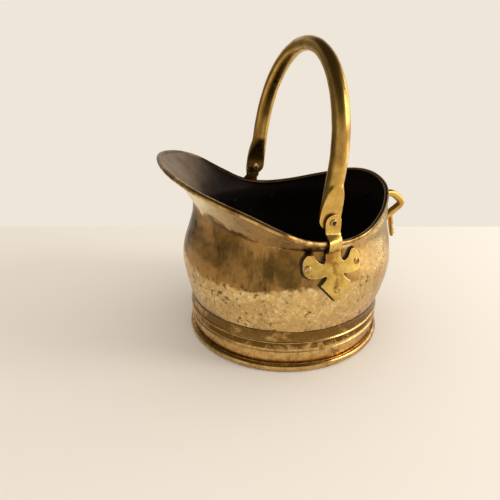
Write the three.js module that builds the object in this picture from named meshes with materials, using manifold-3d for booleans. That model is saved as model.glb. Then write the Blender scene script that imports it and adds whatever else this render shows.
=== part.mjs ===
// Brass coal scuttle: a round hammered bowl with a flared pouring lip, on a turned foot,
// with a swinging bail hung from two riveted lugs and a fixed D-loop handle at the back.
// Millimetres, +Z up. While the pieces are shaped, x = y = 0 is the axis of the foot and the
// lip points to -Y. At the end everything is shifted so that Z runs through the box centre.
import * as THREE from 'three';
import { mergeVertices } from 'three/addons/utils/BufferGeometryUtils.js';
import { TessellateModifier } from 'three/addons/modifiers/TessellateModifier.js';
import Module from 'manifold-3d';

const wasm = await Module();
wasm.setup();

// ---------------------------------------------------------------- driving sizes
const GAP = 0.3;              // clearance left between pieces that touch
const SEAT = 0.5;             // clearance under pieces bent round the wall
const SHEET = 1.4;            // thickness of the raised sheet

const JOINT_Z = 49.7;         // height where the bowl sits on the collar
const JOINT_R = 111.3;        // outer radius of the bowl there
const FOOT_WIRE_R = 4.5;      // bottom bead, radius of its section
const FOOT_LAND = 3;          // width worn flat underneath the bead
const FOOT_TUCK = 0.8;        // how far the bead's centre line lies inside the joint
const FOOT_R = JOINT_R - FOOT_TUCK;
const APRON_TOP = 24.9;       // upper edge of the apron of the skirt
const APRON_FLARE = 3;        // how far the apron stands out over the waist of the skirt
const COLLAR_FOOT = 35.6;     // height where the collar stands on the skirt
const FOOT_WALL = 1.6;        // thickness of the turned foot pieces
const TURN_IN = 8;            // width of the flange turned in under the bowl

const BELLY_R = 121.2;        // outer radius of the belly at the sides
const BELLY_Z = 97;           // height of the widest place
const BELLY_LEAN = 1.4;       // how much further the belly reaches at the back than at the side
const NECK_R = 106;           // outer radius of the crease below the lip

const LIP_REACH = 138;        // foot axis to the middle of the lip
const LIP_HEIGHT = 207;       // height of the middle of the lip
const CHEEK_REACH = 157.2;    // foot axis to the widest place of the lip
const SADDLE_REACH = 108.5;   // foot axis to the rim beside the lugs
const SADDLE_HEIGHT = 144.8;  // lowest height of the rim
const REAR_REACH = 114.3;     // foot axis to the back of the rim
const REAR_HEIGHT = 176.3;    // height of the back of the rim
const RIM_WIRE_R = 2.35;      // radius of the rolled rim bead

const PIVOT_RISE = 23.7;      // hinge of the bail above the lowest place of the rim
const PIVOT_Z = SADDLE_HEIGHT + PIVOT_RISE;
const PIVOT_Y = 1.5;          // its place along the scuttle
const LUG_T = 2.9;            // thickness of the lug plate
const EYE_R = 8.85;           // outer radius of the eye of the lug
const PIVOT_R = 3;            // radius of the pivot's shank
const RIVET_R = 2.2;          // radius of the shank of the small rivets
const STRAP_HALF = 8.2;       // half width of the strap of the lug
const LOBE_SPAN = 32.6;       // strap axis to the end of a side lobe
const LOBE_DROP = 17.8;       // middle of the lobes below the lowest place of the rim
const LOBE_Z = SADDLE_HEIGHT - LOBE_DROP;
const ARROW_DROP = 38.6;      // lower end of the arrow below the middle of the lobes
const TIP_Z = LOBE_Z - ARROW_DROP;
const LUG_EDGE = 0.7;         // bevel round the plate
const PASS_GAP = 1.2;         // room between the rim bead and the strap that goes round it
const EYE_STEP = 7.6;         // how far the strap steps back in from there to the eye
const PIVOT_HEAD = 0.8;       // height of the pivot's outer head
const ROVE_T = 1.2;           // thickness of the washer under the pivot's inner head

const BAIL_HEIGHT = 159;      // pivot to the centre of the crown of the bail
const BAIL_LEAN = 8;          // degrees the bail leans back at rest
const BAIL_LEG = 45;          // straight part of each leg above the pivot
const BAIL_FOOT_R = 9;        // radius of the rod at the legs
const BAIL_CROWN_R = 7.7;     // radius of the rod at the crown
const BAIL_SWELL = 0.6;       // how much fuller the rod is between legs and crown
const TONGUE_T = 5.2;         // thickness of the flattened end behind the eye
const TONGUE_HALF = 11.8;     // half width of the flattened end

const REAR_ROD_R = 3.7;       // rod of the rear handle
const REAR_ARM_Z = 148.3;     // height of its upper arm
const REAR_ELBOW = 163;       // foot axis to the elbow of the loop
const REAR_ROOT_Z = 105;      // height of its lower root
const REAR_DROP = 14.5;       // upper arm down to the elbow
const TAIL_LENGTH = 32.2;     // the flat tail hanging under the elbow
const PAD_T = 2.4;            // thickness of the two pads
const PAD_HALF = 17;          // half width of a pad
const PAD_RISE = 6.5;         // half height of a pad
const REAR_RIVET_X = 10.8;    // rivets to either side of the middle of a pad

// ---------------------------------------------------------------- small helpers
const DEG = Math.PI / 180;
const clamp01 = (t) => Math.min(1, Math.max(0, t));
const ease = (t) => {
  const k = clamp01(t);
  return k * k * (3 - 2 * k);
};
const mix = (a, b, t) => a + (b - a) * t;
const V = (x, y, z) => new THREE.Vector3(x, y, z);

const bare = (geometry) => {
  const g = geometry.clone();
  g.deleteAttribute('normal');
  g.deleteAttribute('uv');
  return mergeVertices(g, 1e-4);
};

const volumeOf = (g) => {
  const p = g.attributes.position;
  const ix = g.index.array;
  const a = V();
  const b = V();
  const c = V();
  let sum = 0;
  for (let i = 0; i < ix.length; i += 3) {
    a.fromBufferAttribute(p, ix[i]);
    b.fromBufferAttribute(p, ix[i + 1]);
    c.fromBufferAttribute(p, ix[i + 2]);
    sum += a.dot(b.cross(c)) / 6;
  }
  return sum;
};

// Turns a closed surface so that its faces look outward.
const outward = (g) => {
  if (volumeOf(g) > 0) return g;
  const ix = Array.from(g.index.array);
  for (let i = 0; i < ix.length; i += 3) {
    const keep = ix[i];
    ix[i] = ix[i + 1];
    ix[i + 1] = keep;
  }
  g.setIndex(ix);
  return g;
};

// Skin over rings of equal length. A loop of rings closes on itself, else both ends get a cap.
const skin = (rings, loop) => {
  const n = rings.length;
  const m = rings[0].length;
  const xyz = [];
  const ix = [];
  for (const ring of rings) {
    for (const p of ring) xyz.push(p.x, p.y, p.z);
  }
  const last = loop ? n : n - 1;
  for (let j = 0; j < last; j += 1) {
    for (let i = 0; i < m; i += 1) {
      const a = j * m + i;
      const b = j * m + ((i + 1) % m);
      const c = ((j + 1) % n) * m + i;
      const d = ((j + 1) % n) * m + ((i + 1) % m);
      ix.push(a, b, d, a, d, c);
    }
  }
  if (!loop) {
    for (const end of [0, n - 1]) {
      const mid = V(0, 0, 0);
      for (const p of rings[end]) mid.addScaledVector(p, 1 / m);
      const hub = xyz.length / 3;
      xyz.push(mid.x, mid.y, mid.z);
      for (let i = 0; i < m; i += 1) {
        const a = end * m + i;
        const b = end * m + ((i + 1) % m);
        if (end === 0) ix.push(hub, b, a);
        else ix.push(hub, a, b);
      }
    }
  }
  const g = new THREE.BufferGeometry();
  g.setAttribute('position', new THREE.Float32BufferAttribute(xyz, 3));
  g.setIndex(ix);
  return outward(g);
};

const solid = (geometry) => {
  const g = outward(bare(geometry));
  return new wasm.Manifold(new wasm.Mesh({
    numProp: 3,
    vertProperties: new Float32Array(g.attributes.position.array),
    triVerts: new Uint32Array(g.index.array),
  }));
};

const surface = (manifold) => {
  const mesh = manifold.getMesh();
  const g = new THREE.BufferGeometry();
  const count = mesh.vertProperties.length / mesh.numProp;
  const xyz = [];
  for (let i = 0; i < count; i += 1) {
    for (let k = 0; k < 3; k += 1) xyz.push(mesh.vertProperties[i * mesh.numProp + k]);
  }
  g.setAttribute('position', new THREE.Float32BufferAttribute(xyz, 3));
  g.setIndex(Array.from(mesh.triVerts));
  return g;
};

const lathe = (profile, segments) => {
  const points = profile.map(([r, z]) => new THREE.Vector2(r, z));
  const g = new THREE.LatheGeometry(points, segments);
  g.rotateX(Math.PI / 2);
  return g;
};

// A turned piece standing on a place and looking along a direction.
const aim = (geometry, place, direction) => {
  const g = geometry.clone();
  const turn = new THREE.Quaternion().setFromUnitVectors(V(0, 0, 1), direction.clone().normalize());
  g.applyQuaternion(turn);
  g.translate(place.x, place.y, place.z);
  return g;
};

const drill = (place, direction, radius, reach) => {
  const pin = lathe([[0, -reach], [radius, -reach], [radius, reach], [0, reach]], 10);
  return solid(aim(pin, place, direction));
};

// ---------------------------------------------------------------- rim
const flare = (f) => mix(SADDLE_REACH, CHEEK_REACH, f);
const lift = (f) => mix(SADDLE_HEIGHT, LIP_HEIGHT, f);
const back = (f) => mix(SADDLE_REACH, REAR_REACH, f);
const rear = (f) => mix(SADDLE_HEIGHT, REAR_HEIGHT, f);

// Half of the rim from lip to back: bearing in degrees, distance from the axis, height.
const RIM_HALF = [
  [-90, LIP_REACH, LIP_HEIGHT],
  [-59, flare(0.782), lift(0.944)],
  [-36, flare(0.947), lift(0.738)],
  [-23.2, flare(1), lift(0.51)],
  [-15, flare(0.556), lift(0.268)],
  [-7, flare(0.19), lift(0.105)],
  [1, flare(0.035), lift(0.035)],
  [12, back(0), rear(0)],
  [27, back(0.05), rear(0.083)],
  [49, back(0.4), rear(0.429)],
  [70, back(1.04), rear(0.841)],
  [90, REAR_REACH, REAR_HEIGHT],
];
const rimPlace = (bearing, reach, height) => (
  V(reach * Math.cos(bearing * DEG), reach * Math.sin(bearing * DEG), height)
);
const RIM_POINTS = RIM_HALF.map((s) => rimPlace(s[0], s[1], s[2]));
for (let i = RIM_HALF.length - 2; i > 0; i -= 1) {
  RIM_POINTS.push(V(-RIM_POINTS[i].x, RIM_POINTS[i].y, RIM_POINTS[i].z));
}
const RIM_CURVE = new THREE.CatmullRomCurve3(RIM_POINTS, true, 'centripetal');

const RIM_STEPS = 64;
const rimRing = RIM_CURVE.getSpacedPoints(RIM_STEPS).slice(0, RIM_STEPS);
const rimFine = RIM_CURVE.getSpacedPoints(900).slice(0, 451);
const bearingOf = (p) => Math.atan2(p.y, Math.abs(p.x)) / DEG;

// Rim at any bearing: distance from the axis and height.
const rimAt = (bearing) => {
  let i = 1;
  while (i < rimFine.length - 1 && bearingOf(rimFine[i]) < bearing) i += 1;
  const a = rimFine[i - 1];
  const b = rimFine[i];
  const t = clamp01((bearing - bearingOf(a)) / (bearingOf(b) - bearingOf(a) || 1));
  return [mix(Math.hypot(a.x, a.y), Math.hypot(b.x, b.y), t), mix(a.z, b.z, t)];
};
// Half width of the rim at a place along the scuttle, near the lugs.
const rimWidthAt = (y) => {
  let best = rimFine[0];
  for (const p of rimFine) {
    if (Math.abs(p.y - y) < Math.abs(best.y - y)) best = p;
  }
  return Math.abs(best.x);
};

// ---------------------------------------------------------------- bowl
const bellyR = (b) => BELLY_R + BELLY_LEAN * Math.sin(b * DEG);
const SIDE_NECK = SADDLE_REACH + 1.1;
const neckR = (b) => (
  NECK_R + (SIDE_NECK - NECK_R) * ease((b + 34) / 34) + (REAR_REACH - SIDE_NECK) * ease((b - 10) / 80)
);
const neckZ = (b) => (
  SADDLE_HEIGHT - 0.8 + 19 * clamp01((-b - 32) / 50) ** 1.3
  - 5 * ease((b + 32) / 32) + 7 * ease(b / 90)
);

// Outer radius of the bowl at a bearing and a height.
const bowlR = (b, z) => {
  const belly = bellyR(b);
  if (z <= BELLY_Z) {
    const t = clamp01((BELLY_Z - z) / (BELLY_Z - JOINT_Z));
    return belly - (belly - JOINT_R) * t ** 1.7;
  }
  const nr = neckR(b);
  const nz = neckZ(b);
  if (z <= nz) return mix(belly, nr, ease((z - BELLY_Z) / (nz - BELLY_Z)));
  const [rr, rz] = rimAt(b);
  const t = (z - nz) / (rz - nz);
  return mix(nr, rr, 0.7 * t + 0.3 * t * t);
};

// How far the sheet stops short of the rim's centre line so that both of its corners clear
// the bead, which runs aslant to the wall where the lip narrows.
const edgeStop = (b, run) => {
  const at = (bearing) => {
    const [r, z] = rimAt(bearing);
    return rimPlace(bearing, r, z);
  };
  const along0 = at(Math.min(90, b + 1)).sub(at(Math.max(-90, b - 1))).normalize();
  const lean = (u, w) => V(u * Math.cos(b * DEG), u * Math.sin(b * DEG), w);
  const clear = (stop, depth) => (
    lean(-run.x * stop - run.y * depth, -run.y * stop + run.x * depth).cross(along0).length()
  );
  let stop = RIM_WIRE_R + GAP;
  const least = RIM_WIRE_R + GAP + 0.05;
  while (stop < 12 && Math.min(clear(stop, 0), clear(stop, SHEET / 2), clear(stop, SHEET)) < least) {
    stop += 0.1;
  }
  return stop;
};

const LOW_ROWS = [0, 0.15, 0.33, 0.55, 0.78, 1];
const MID_ROWS = [0.22, 0.4, 0.6, 0.8, 1];
const TOP_ROWS = [0.33, 0.67, 1];

// Closed section of the sheet at one bearing: up the outside, over the edge, down the inside.
const bowlSection = (b) => {
  const [rr, rz] = rimAt(b);
  const nz = neckZ(b);
  const run = new THREE.Vector2(rr - bowlR(b, rz - 2), 2).normalize();
  const topZ = rz - run.y * edgeStop(b, run);
  const heights = LOW_ROWS.map((t) => mix(JOINT_Z, BELLY_Z, t))
    .concat(MID_ROWS.map((t) => mix(BELLY_Z, nz, t)))
    .concat(TOP_ROWS.map((t) => mix(nz, topZ, t)));
  const outer = heights.map((z) => new THREE.Vector2(bowlR(b, z), z));
  const inner = outer.map((p, i) => {
    const before = outer[Math.max(0, i - 1)];
    const after = outer[Math.min(outer.length - 1, i + 1)];
    const along = after.clone().sub(before).normalize();
    return new THREE.Vector2(p.x - along.y * SHEET, p.y + along.x * SHEET);
  });
  inner[0].set(JOINT_R - SHEET, JOINT_Z + SHEET);
  const turnIn = JOINT_R - TURN_IN;
  return outer.concat(inner.reverse(), [
    new THREE.Vector2(turnIn, JOINT_Z + SHEET),
    new THREE.Vector2(turnIn, JOINT_Z),
  ]);
};

const bowlRings = rimRing.map((p) => {
  const b = bearingOf(p);
  const way = Math.atan2(p.y, p.x);
  return bowlSection(b).map((q) => V(q.x * Math.cos(way), q.x * Math.sin(way), q.y));
});
let bowl = solid(skin(bowlRings, true));

// ---------------------------------------------------------------- wall the fittings follow
// Place on the outside of the bowl beside the lugs, seen from the side: x for a given y and z.
const sideX = (y, z) => {
  let x = bowlR(0, z);
  for (let k = 0; k < 4; k += 1) x = Math.sqrt(bowlR(Math.atan2(y, x) / DEG, z) ** 2 - y * y);
  return x;
};
// The same behind the bowl: y for a given x and z.
const rearY = (x, z) => {
  let y = bowlR(90, z);
  for (let k = 0; k < 4; k += 1) {
    y = Math.sqrt(bowlR(Math.atan2(y, Math.abs(x)) / DEG, z) ** 2 - x * x);
  }
  return y;
};

// ---------------------------------------------------------------- lugs
const PASS_X = rimWidthAt(PIVOT_Y) + RIM_WIRE_R + PASS_GAP;
const PASS_SLOPE = (rimWidthAt(PIVOT_Y + 8) - rimWidthAt(PIVOT_Y - 8)) / 16;
const EYE_X = PASS_X - EYE_STEP;
const WIRE_Z = rimAt(0)[1];

// Inner face of the lug: on the wall low down, outside the rim bead, then back in at the eye.
const lugX = (y, z) => {
  const wall = sideX(y, Math.min(z, WIRE_Z - 8)) + SEAT;
  const pass = PASS_X + PASS_SLOPE * (y - PIVOT_Y);
  const low = mix(wall, pass, ease((z - (WIRE_Z - 10)) / 7));
  return mix(low, EYE_X, ease((z - (WIRE_Z + 3.4)) / (PIVOT_Z - EYE_R - WIRE_Z - 2.4)));
};
// Direction straight out of the lug at a place on it, level.
const lugOut = (y, z) => {
  const step = 0.5;
  const slope = (lugX(y + step, z) - lugX(y - step, z)) / (2 * step);
  return V(1, -slope, 0).normalize();
};

const lugShape = () => {
  const half = new THREE.Path();
  half.moveTo(0, TIP_Z);
  half.lineTo(17.2, LOBE_Z - 18.8);
  half.quadraticCurveTo(11, LOBE_Z - 15, 9, LOBE_Z - 10.2);
  half.quadraticCurveTo(18, LOBE_Z - 13, 26, LOBE_Z - 11.6);
  half.quadraticCurveTo(LOBE_SPAN + 0.6, LOBE_Z - 10.2, LOBE_SPAN, LOBE_Z - 2.5);
  half.quadraticCurveTo(LOBE_SPAN, LOBE_Z + 5, LOBE_SPAN - 4.1, LOBE_Z + 8.8);
  half.quadraticCurveTo(24.8, LOBE_Z + 13.6, 20.6, LOBE_Z + 10.4);
  half.quadraticCurveTo(17, LOBE_Z + 1.4, 11.3, LOBE_Z + 1.5);
  half.quadraticCurveTo(9, LOBE_Z + 2.4, 8.7, LOBE_Z + 7);
  half.lineTo(8.6, LOBE_Z + 10.8);
  half.lineTo(8.5, LOBE_Z + 14.5);
  half.lineTo(STRAP_HALF, LOBE_Z + 22.5);
  half.lineTo(EYE_R, PIVOT_Z);
  half.absarc(0, PIVOT_Z, EYE_R, 0, Math.PI / 2, false);
  const side = half.getPoints(5);
  const other = side.slice(1, -1).reverse().map((p) => new THREE.Vector2(-p.x, p.y));
  return new THREE.Shape(side.concat(other));
};

const lugPlate = () => {
  const flat = new THREE.ExtrudeGeometry(lugShape(), {
    depth: LUG_T - LUG_EDGE,
    bevelEnabled: true,
    bevelThickness: LUG_EDGE / 2,
    bevelSize: LUG_EDGE / 2,
    bevelOffset: -LUG_EDGE / 2,
    bevelSegments: 1,
    steps: 1,
  });
  flat.translate(0, 0, LUG_EDGE / 2);
  const g = bare(new TessellateModifier(10, 8).modify(flat));
  const p = g.attributes.position;
  for (let i = 0; i < p.count; i += 1) {
    const y = PIVOT_Y + p.getX(i);
    const z = p.getY(i);
    const out = lugOut(y, z);
    const lift0 = p.getZ(i);
    p.setXYZ(i, lugX(y, z) + out.x * lift0, y + out.y * lift0, z);
  }
  return solid(g);
};

const LUG_RIVETS = [
  ['front_lobe', -27, LOBE_Z - 2.2],
  ['rear_lobe', 27, LOBE_Z - 2.2],
  ['arrow', 0, LOBE_Z - 24.7],
];
const HOLE = RIVET_R + GAP;

// Low outer head, shank and round inner head, z = 0 at the outer face of the plate.
const rivet = (grip, headR, headT) => lathe([
  [0, GAP + headT],
  [headR * 0.7, GAP + headT * 0.9],
  [headR, GAP],
  [RIVET_R, GAP],
  [RIVET_R, -grip - GAP],
  [RIVET_R * 1.9, -grip - GAP],
  [RIVET_R * 1.7, -grip - GAP - 0.8],
  [RIVET_R, -grip - GAP - 1.2],
  [0, -grip - GAP - 1.3],
], 10);

let lug = lugPlate();
const eyeHole = drill(V(EYE_X, PIVOT_Y, PIVOT_Z), V(1, 0, 0), PIVOT_R + GAP, 8);
lug = lug.subtract(eyeHole);
const sidePieces = [];
for (const [name, across, z] of LUG_RIVETS) {
  const y = PIVOT_Y + across;
  const wallX = sideX(y, z);
  const dz = (sideX(y, z + 1) - sideX(y, z - 1)) / 2;
  const out = lugOut(y, z);
  const way = V(out.x, out.y, -dz * out.x).normalize();
  const face = V(lugX(y, z) + out.x * LUG_T, y + out.y * LUG_T, z);
  const hole = drill(face, way, HOLE, 12);
  lug = lug.subtract(hole);
  const mirrored = hole.mirror([1, 0, 0]);
  bowl = bowl.subtract(hole).subtract(mirrored);
  const grip = LUG_T + (lugX(y, z) - wallX) + SHEET + 0.35;
  sidePieces.push([name, aim(rivet(grip, 3.6, 0.7), face, way)]);
}

// ---------------------------------------------------------------- bail
const END_OUT = EYE_X - GAP;
const END_IN = END_OUT - TONGUE_T;
const BAIL_HALF = END_OUT - BAIL_FOOT_R;      // centre line of the straight legs

// Section of the bail: round above, towards the ends flat outside and full inside.
const RING_COUNT = 20;
const bailRing = (centre, outDir, halfT, halfW, outer, inner) => {
  const ring = [];
  for (let i = 0; i < RING_COUNT; i += 1) {
    const a = (i / RING_COUNT) * 2 * Math.PI;
    const c = Math.cos(a);
    const s = Math.sin(a);
    const power = c > 0 ? outer : inner;
    const across = halfT * Math.sign(c) * Math.abs(c) ** (2 / power);
    const along = halfW * Math.sign(s) * Math.abs(s) ** (2 / power);
    ring.push(V(centre.x + outDir.x * across, along, centre.z + outDir.z * across));
  }
  return ring;
};

const legRing = (h) => {
  const k = ease((h - 8) / 33);
  const inn = mix(END_IN, BAIL_HALF - BAIL_FOOT_R, k);
  const flat = ease((h - 8) / 30);
  const half = (END_OUT - inn) / 2;
  const centre = V((END_OUT + inn) / 2, 0, h);
  const wide = mix(TONGUE_HALF, BAIL_FOOT_R, k);
  return bailRing(centre, V(1, 0, 0), half, wide, mix(9, 2, flat), mix(3.4, 2, flat));
};
const ARCH_STEPS = 20;
const archRing = (i) => {
  const a = (i / ARCH_STEPS) * Math.PI;
  const rise = BAIL_HEIGHT - BAIL_LEG;
  const centre = V(BAIL_HALF * Math.cos(a), 0, BAIL_LEG + rise * Math.sin(a));
  const out = V(rise * Math.cos(a), 0, BAIL_HALF * Math.sin(a)).normalize();
  const r = mix(BAIL_FOOT_R, BAIL_CROWN_R, Math.sin(a) ** 1.5) + BAIL_SWELL * Math.sin(2 * a) ** 2;
  return bailRing(centre, out, r, r, 2, 2);
};
const bailRings = [];
const LEG_STEPS = [-12, 0, 9, 15, 21, 27, 33, 39];
for (const h of LEG_STEPS) bailRings.push(legRing(h));
for (let i = 0; i <= ARCH_STEPS; i += 1) bailRings.push(archRing(i));
for (const h of LEG_STEPS.slice().reverse()) {
  bailRings.push(legRing(h).map((p) => V(-p.x, p.y, p.z)));
}
let bail = solid(skin(bailRings, false));

// Cut under the end: round bottom of the tongue.
const TONGUE_ARC = TONGUE_HALF + 0.4;
const bottomCut = () => {
  const cut = new THREE.Shape();
  cut.moveTo(-20, -20);
  cut.lineTo(20, -20);
  cut.lineTo(20, 4);
  cut.lineTo(TONGUE_ARC, 4);
  cut.absarc(0, 4, TONGUE_ARC, 0, Math.PI, true);
  cut.lineTo(-20, 4);
  return cut;
};
// A shape drawn in y and z, pushed along x between two places.
const along = (shape, x0, x1) => {
  const g = new THREE.ExtrudeGeometry(shape, { depth: x1 - x0, bevelEnabled: false, curveSegments: 18 });
  g.applyMatrix4(new THREE.Matrix4().makeBasis(V(0, 1, 0), V(0, 0, 1), V(1, 0, 0)));
  g.translate(x0, 0, 0);
  return solid(g);
};
const cuts = [
  along(bottomCut(), END_IN - 8, END_OUT + 8),
  drill(V(EYE_X, 0, 0), V(1, 0, 0), PIVOT_R + GAP, 14),
];
for (const cut of cuts) bail = bail.subtract(cut).subtract(cut.mirror([1, 0, 0]));
const bailGeometry = surface(bail);
bailGeometry.rotateX(-BAIL_LEAN * DEG);
bailGeometry.translate(0, PIVOT_Y, PIVOT_Z);

// ---------------------------------------------------------------- pivots
// Along its axis: 0 at the outer face of the lug.
const pivotGrip = LUG_T + GAP + TONGUE_T + GAP + ROVE_T;
const pivotPin = lathe([
  [0, GAP + PIVOT_HEAD - 0.5],
  [1.4, GAP + PIVOT_HEAD - 0.35],
  [2.2, GAP + PIVOT_HEAD],
  [PIVOT_R + 0.9, GAP + PIVOT_HEAD - 0.15],
  [PIVOT_R + 1.1, GAP],
  [PIVOT_R, GAP],
  [PIVOT_R, -pivotGrip - GAP],
  [PIVOT_R + 0.9, -pivotGrip - GAP],
  [PIVOT_R + 0.6, -pivotGrip - GAP - 0.9],
  [0, -pivotGrip - GAP - 1.2],
], 20);
const roveRing = lathe([
  [PIVOT_R + GAP, 0],
  [PIVOT_R + 2.2, 0],
  [PIVOT_R + 2, ROVE_T],
  [PIVOT_R + GAP, ROVE_T],
  [PIVOT_R + GAP, 0],
], 20);

// ---------------------------------------------------------------- rear handle
const tube = (path, steps, radiusAt) => {
  const rings = [];
  for (let i = 0; i <= steps; i += 1) {
    const t = i / steps;
    const p = path.getPointAt(t);
    const d = path.getTangentAt(t);
    const up = V(0, -d.z, d.y);
    const [a, b] = radiusAt(t);
    const ring = [];
    for (let k = 0; k < 12; k += 1) {
      const w = (k / 12) * 2 * Math.PI;
      ring.push(V(a * Math.cos(w), p.y + up.y * b * Math.sin(w), p.z + up.z * b * Math.sin(w)));
    }
    rings.push(ring);
  }
  return solid(skin(rings, false));
};

const padY = (x, z) => rearY(x, z) + SEAT;
const pad = (zc, halfW, halfH) => {
  const shape = new THREE.Shape();
  shape.absellipse(0, zc, halfW, halfH, 0, 2 * Math.PI, false, 0);
  const flat = new THREE.ExtrudeGeometry(shape, { depth: PAD_T, bevelEnabled: false, curveSegments: 8 });
  const g = bare(new TessellateModifier(11, 6).modify(flat));
  const p = g.attributes.position;
  for (let i = 0; i < p.count; i += 1) {
    const x = p.getX(i);
    const z = p.getY(i);
    const slope = (padY(x + 0.5, z) - padY(x - 0.5, z));
    const out = V(-slope, 1, 0).normalize();
    const d = p.getZ(i);
    p.setXYZ(i, x + out.x * d, padY(x, z) + out.y * d, z);
  }
  return solid(g);
};

const armStart = padY(0, REAR_ARM_Z) + PAD_T / 2;
const rootY = padY(0, REAR_ROOT_Z) + PAD_T / 2;
const loop = new THREE.CurvePath();
const ELBOW_Z = REAR_ARM_Z - REAR_DROP;
const knots = {
  start: V(0, armStart, REAR_ARM_Z),
  armEnd: V(0, REAR_ELBOW - 20.5, REAR_ARM_Z + 0.3),
  knuckle: V(0, REAR_ELBOW - 14.2, REAR_ARM_Z + 0.3),
  knuckleEnd: V(0, REAR_ELBOW - 10.5, REAR_ARM_Z - 3.8),
  elbowIn: V(0, REAR_ELBOW - 3.2, ELBOW_Z + 3.8),
  elbow: V(0, REAR_ELBOW + 1.6, ELBOW_Z - 0.9),
  elbowOut: V(0, REAR_ELBOW - 4, ELBOW_Z - 4.8),
  low: V(0, rootY + 9.5, REAR_ROOT_Z + 8.5),
  lowCorner: V(0, rootY + 5, REAR_ROOT_Z + 1.2),
  root: V(0, rootY, REAR_ROOT_Z),
};
loop.add(new THREE.LineCurve3(knots.start, knots.armEnd));
loop.add(new THREE.QuadraticBezierCurve3(knots.armEnd, knots.knuckle, knots.knuckleEnd));
loop.add(new THREE.LineCurve3(knots.knuckleEnd, knots.elbowIn));
loop.add(new THREE.QuadraticBezierCurve3(knots.elbowIn, knots.elbow, knots.elbowOut));
loop.add(new THREE.LineCurve3(knots.elbowOut, knots.low));
loop.add(new THREE.QuadraticBezierCurve3(knots.low, knots.lowCorner, knots.root));
let rearHandle = tube(loop, 44, () => [REAR_ROD_R, REAR_ROD_R]);

const TAIL_TOP = V(0, REAR_ELBOW - 15, ELBOW_Z - 12);
const TAIL_END = V(0, REAR_ELBOW - 10.3, TAIL_TOP.z - TAIL_LENGTH);
const tailPath = new THREE.QuadraticBezierCurve3(
  TAIL_TOP, V(0, TAIL_TOP.y + 0.6, mix(TAIL_TOP.z, TAIL_END.z, 0.5)), TAIL_END);
rearHandle = rearHandle.add(tube(tailPath, 10, (t) => [mix(4.2, 2.6, t ** 3), mix(2, 1.6, t)]));
for (const [t, r] of [[0.41, 1.2], [0.7, 1.1], [0.83, 1.1]]) {
  const p = tailPath.getPointAt(t);
  const bead = new THREE.SphereGeometry(r, 10, 8);
  bead.translate(0, p.y + 1.8, p.z);
  rearHandle = rearHandle.add(solid(bead));
}
const rearPieces = [];
for (const [level, z] of [['upper', REAR_ARM_Z], ['lower', REAR_ROOT_Z]]) {
  rearHandle = rearHandle.add(pad(z, PAD_HALF, PAD_RISE));
  for (const [side, x] of [['left', -REAR_RIVET_X], ['right', REAR_RIVET_X]]) {
    const slopeX = padY(x + 0.5, z) - padY(x - 0.5, z);
    const slopeZ = (rearY(x, z + 1) - rearY(x, z - 1)) / 2;
    const level0 = V(-slopeX, 1, 0).normalize();
    const way = V(-slopeX, 1, -slopeZ).normalize();
    const face = V(x + level0.x * PAD_T, padY(x, z) + level0.y * PAD_T, z);
    const hole = drill(face, way, HOLE, 12);
    rearHandle = rearHandle.subtract(hole);
    bowl = bowl.subtract(hole);
    const grip = PAD_T + SEAT + SHEET + 0.35;
    rearPieces.push([`rear_rivet_${level}_${side}`, aim(rivet(grip, 3.4, 1.1), face, way)]);
  }
}

// ---------------------------------------------------------------- bottom and foot
const PAN_R = JOINT_R - SHEET - 0.6;
const panZ = JOINT_Z + SHEET + GAP;
const pan = lathe([
  [0, panZ + 1.2],
  [PAN_R - 9, panZ + 1.2],
  [PAN_R - 1.5, panZ + 1.7],
  [PAN_R - 1.2, panZ + 5],
  [PAN_R, panZ + 5],
  [PAN_R, panZ + 0.8],
  [PAN_R - 1, panZ],
  [0, panZ],
], 48);

const collar = lathe([
  [JOINT_R + 1.6, COLLAR_FOOT],
  [JOINT_R + 1.6, COLLAR_FOOT + 1],
  [JOINT_R + 0.5, COLLAR_FOOT + 2.2],
  [JOINT_R - 0.3, COLLAR_FOOT + 5.4],
  [JOINT_R - 0.3, JOINT_Z - 5.2],
  [JOINT_R + 0.5, JOINT_Z - GAP],
  [JOINT_R - 7, JOINT_Z - GAP],
  [JOINT_R - 7, JOINT_Z - GAP - FOOT_WALL],
  [JOINT_R - 2.4, JOINT_Z - GAP - FOOT_WALL - 0.6],
  [JOINT_R - 2.2, COLLAR_FOOT],
  [JOINT_R + 1.6, COLLAR_FOOT],
], 60);

const landDrop = Math.sqrt(FOOT_WIRE_R ** 2 - (FOOT_LAND / 2) ** 2);
const footWireProfile = [];
const landAngle = Math.asin(FOOT_LAND / 2 / FOOT_WIRE_R);
for (let i = 0; i <= 10; i += 1) {
  const a = -Math.PI / 2 + landAngle + (i / 10) * (2 * Math.PI - 2 * landAngle);
  footWireProfile.push([FOOT_R + FOOT_WIRE_R * Math.cos(a), landDrop + FOOT_WIRE_R * Math.sin(a)]);
}
footWireProfile.push(footWireProfile[0]);
const footWire = lathe(footWireProfile, 60);

const SKIRT_R = FOOT_R - 1;     // waist of the skirt just over the bead
const skirtZ = landDrop + FOOT_WIRE_R + GAP;
const skirt = lathe([
  [SKIRT_R, skirtZ],
  [SKIRT_R + 0.7, skirtZ + 3],
  [SKIRT_R + APRON_FLARE - 0.8, mix(skirtZ, APRON_TOP, 0.55)],
  [SKIRT_R + APRON_FLARE, APRON_TOP - 1],
  [SKIRT_R + APRON_FLARE - 0.1, APRON_TOP],
  [SKIRT_R + 0.6, APRON_TOP + 1.3],
  [SKIRT_R + 0.1, mix(APRON_TOP, COLLAR_FOOT, 0.55)],
  [SKIRT_R + 0.9, COLLAR_FOOT - GAP],
  [SKIRT_R - FOOT_WALL, COLLAR_FOOT - GAP],
  [SKIRT_R - FOOT_WALL, skirtZ],
  [SKIRT_R, skirtZ],
], 60);

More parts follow.
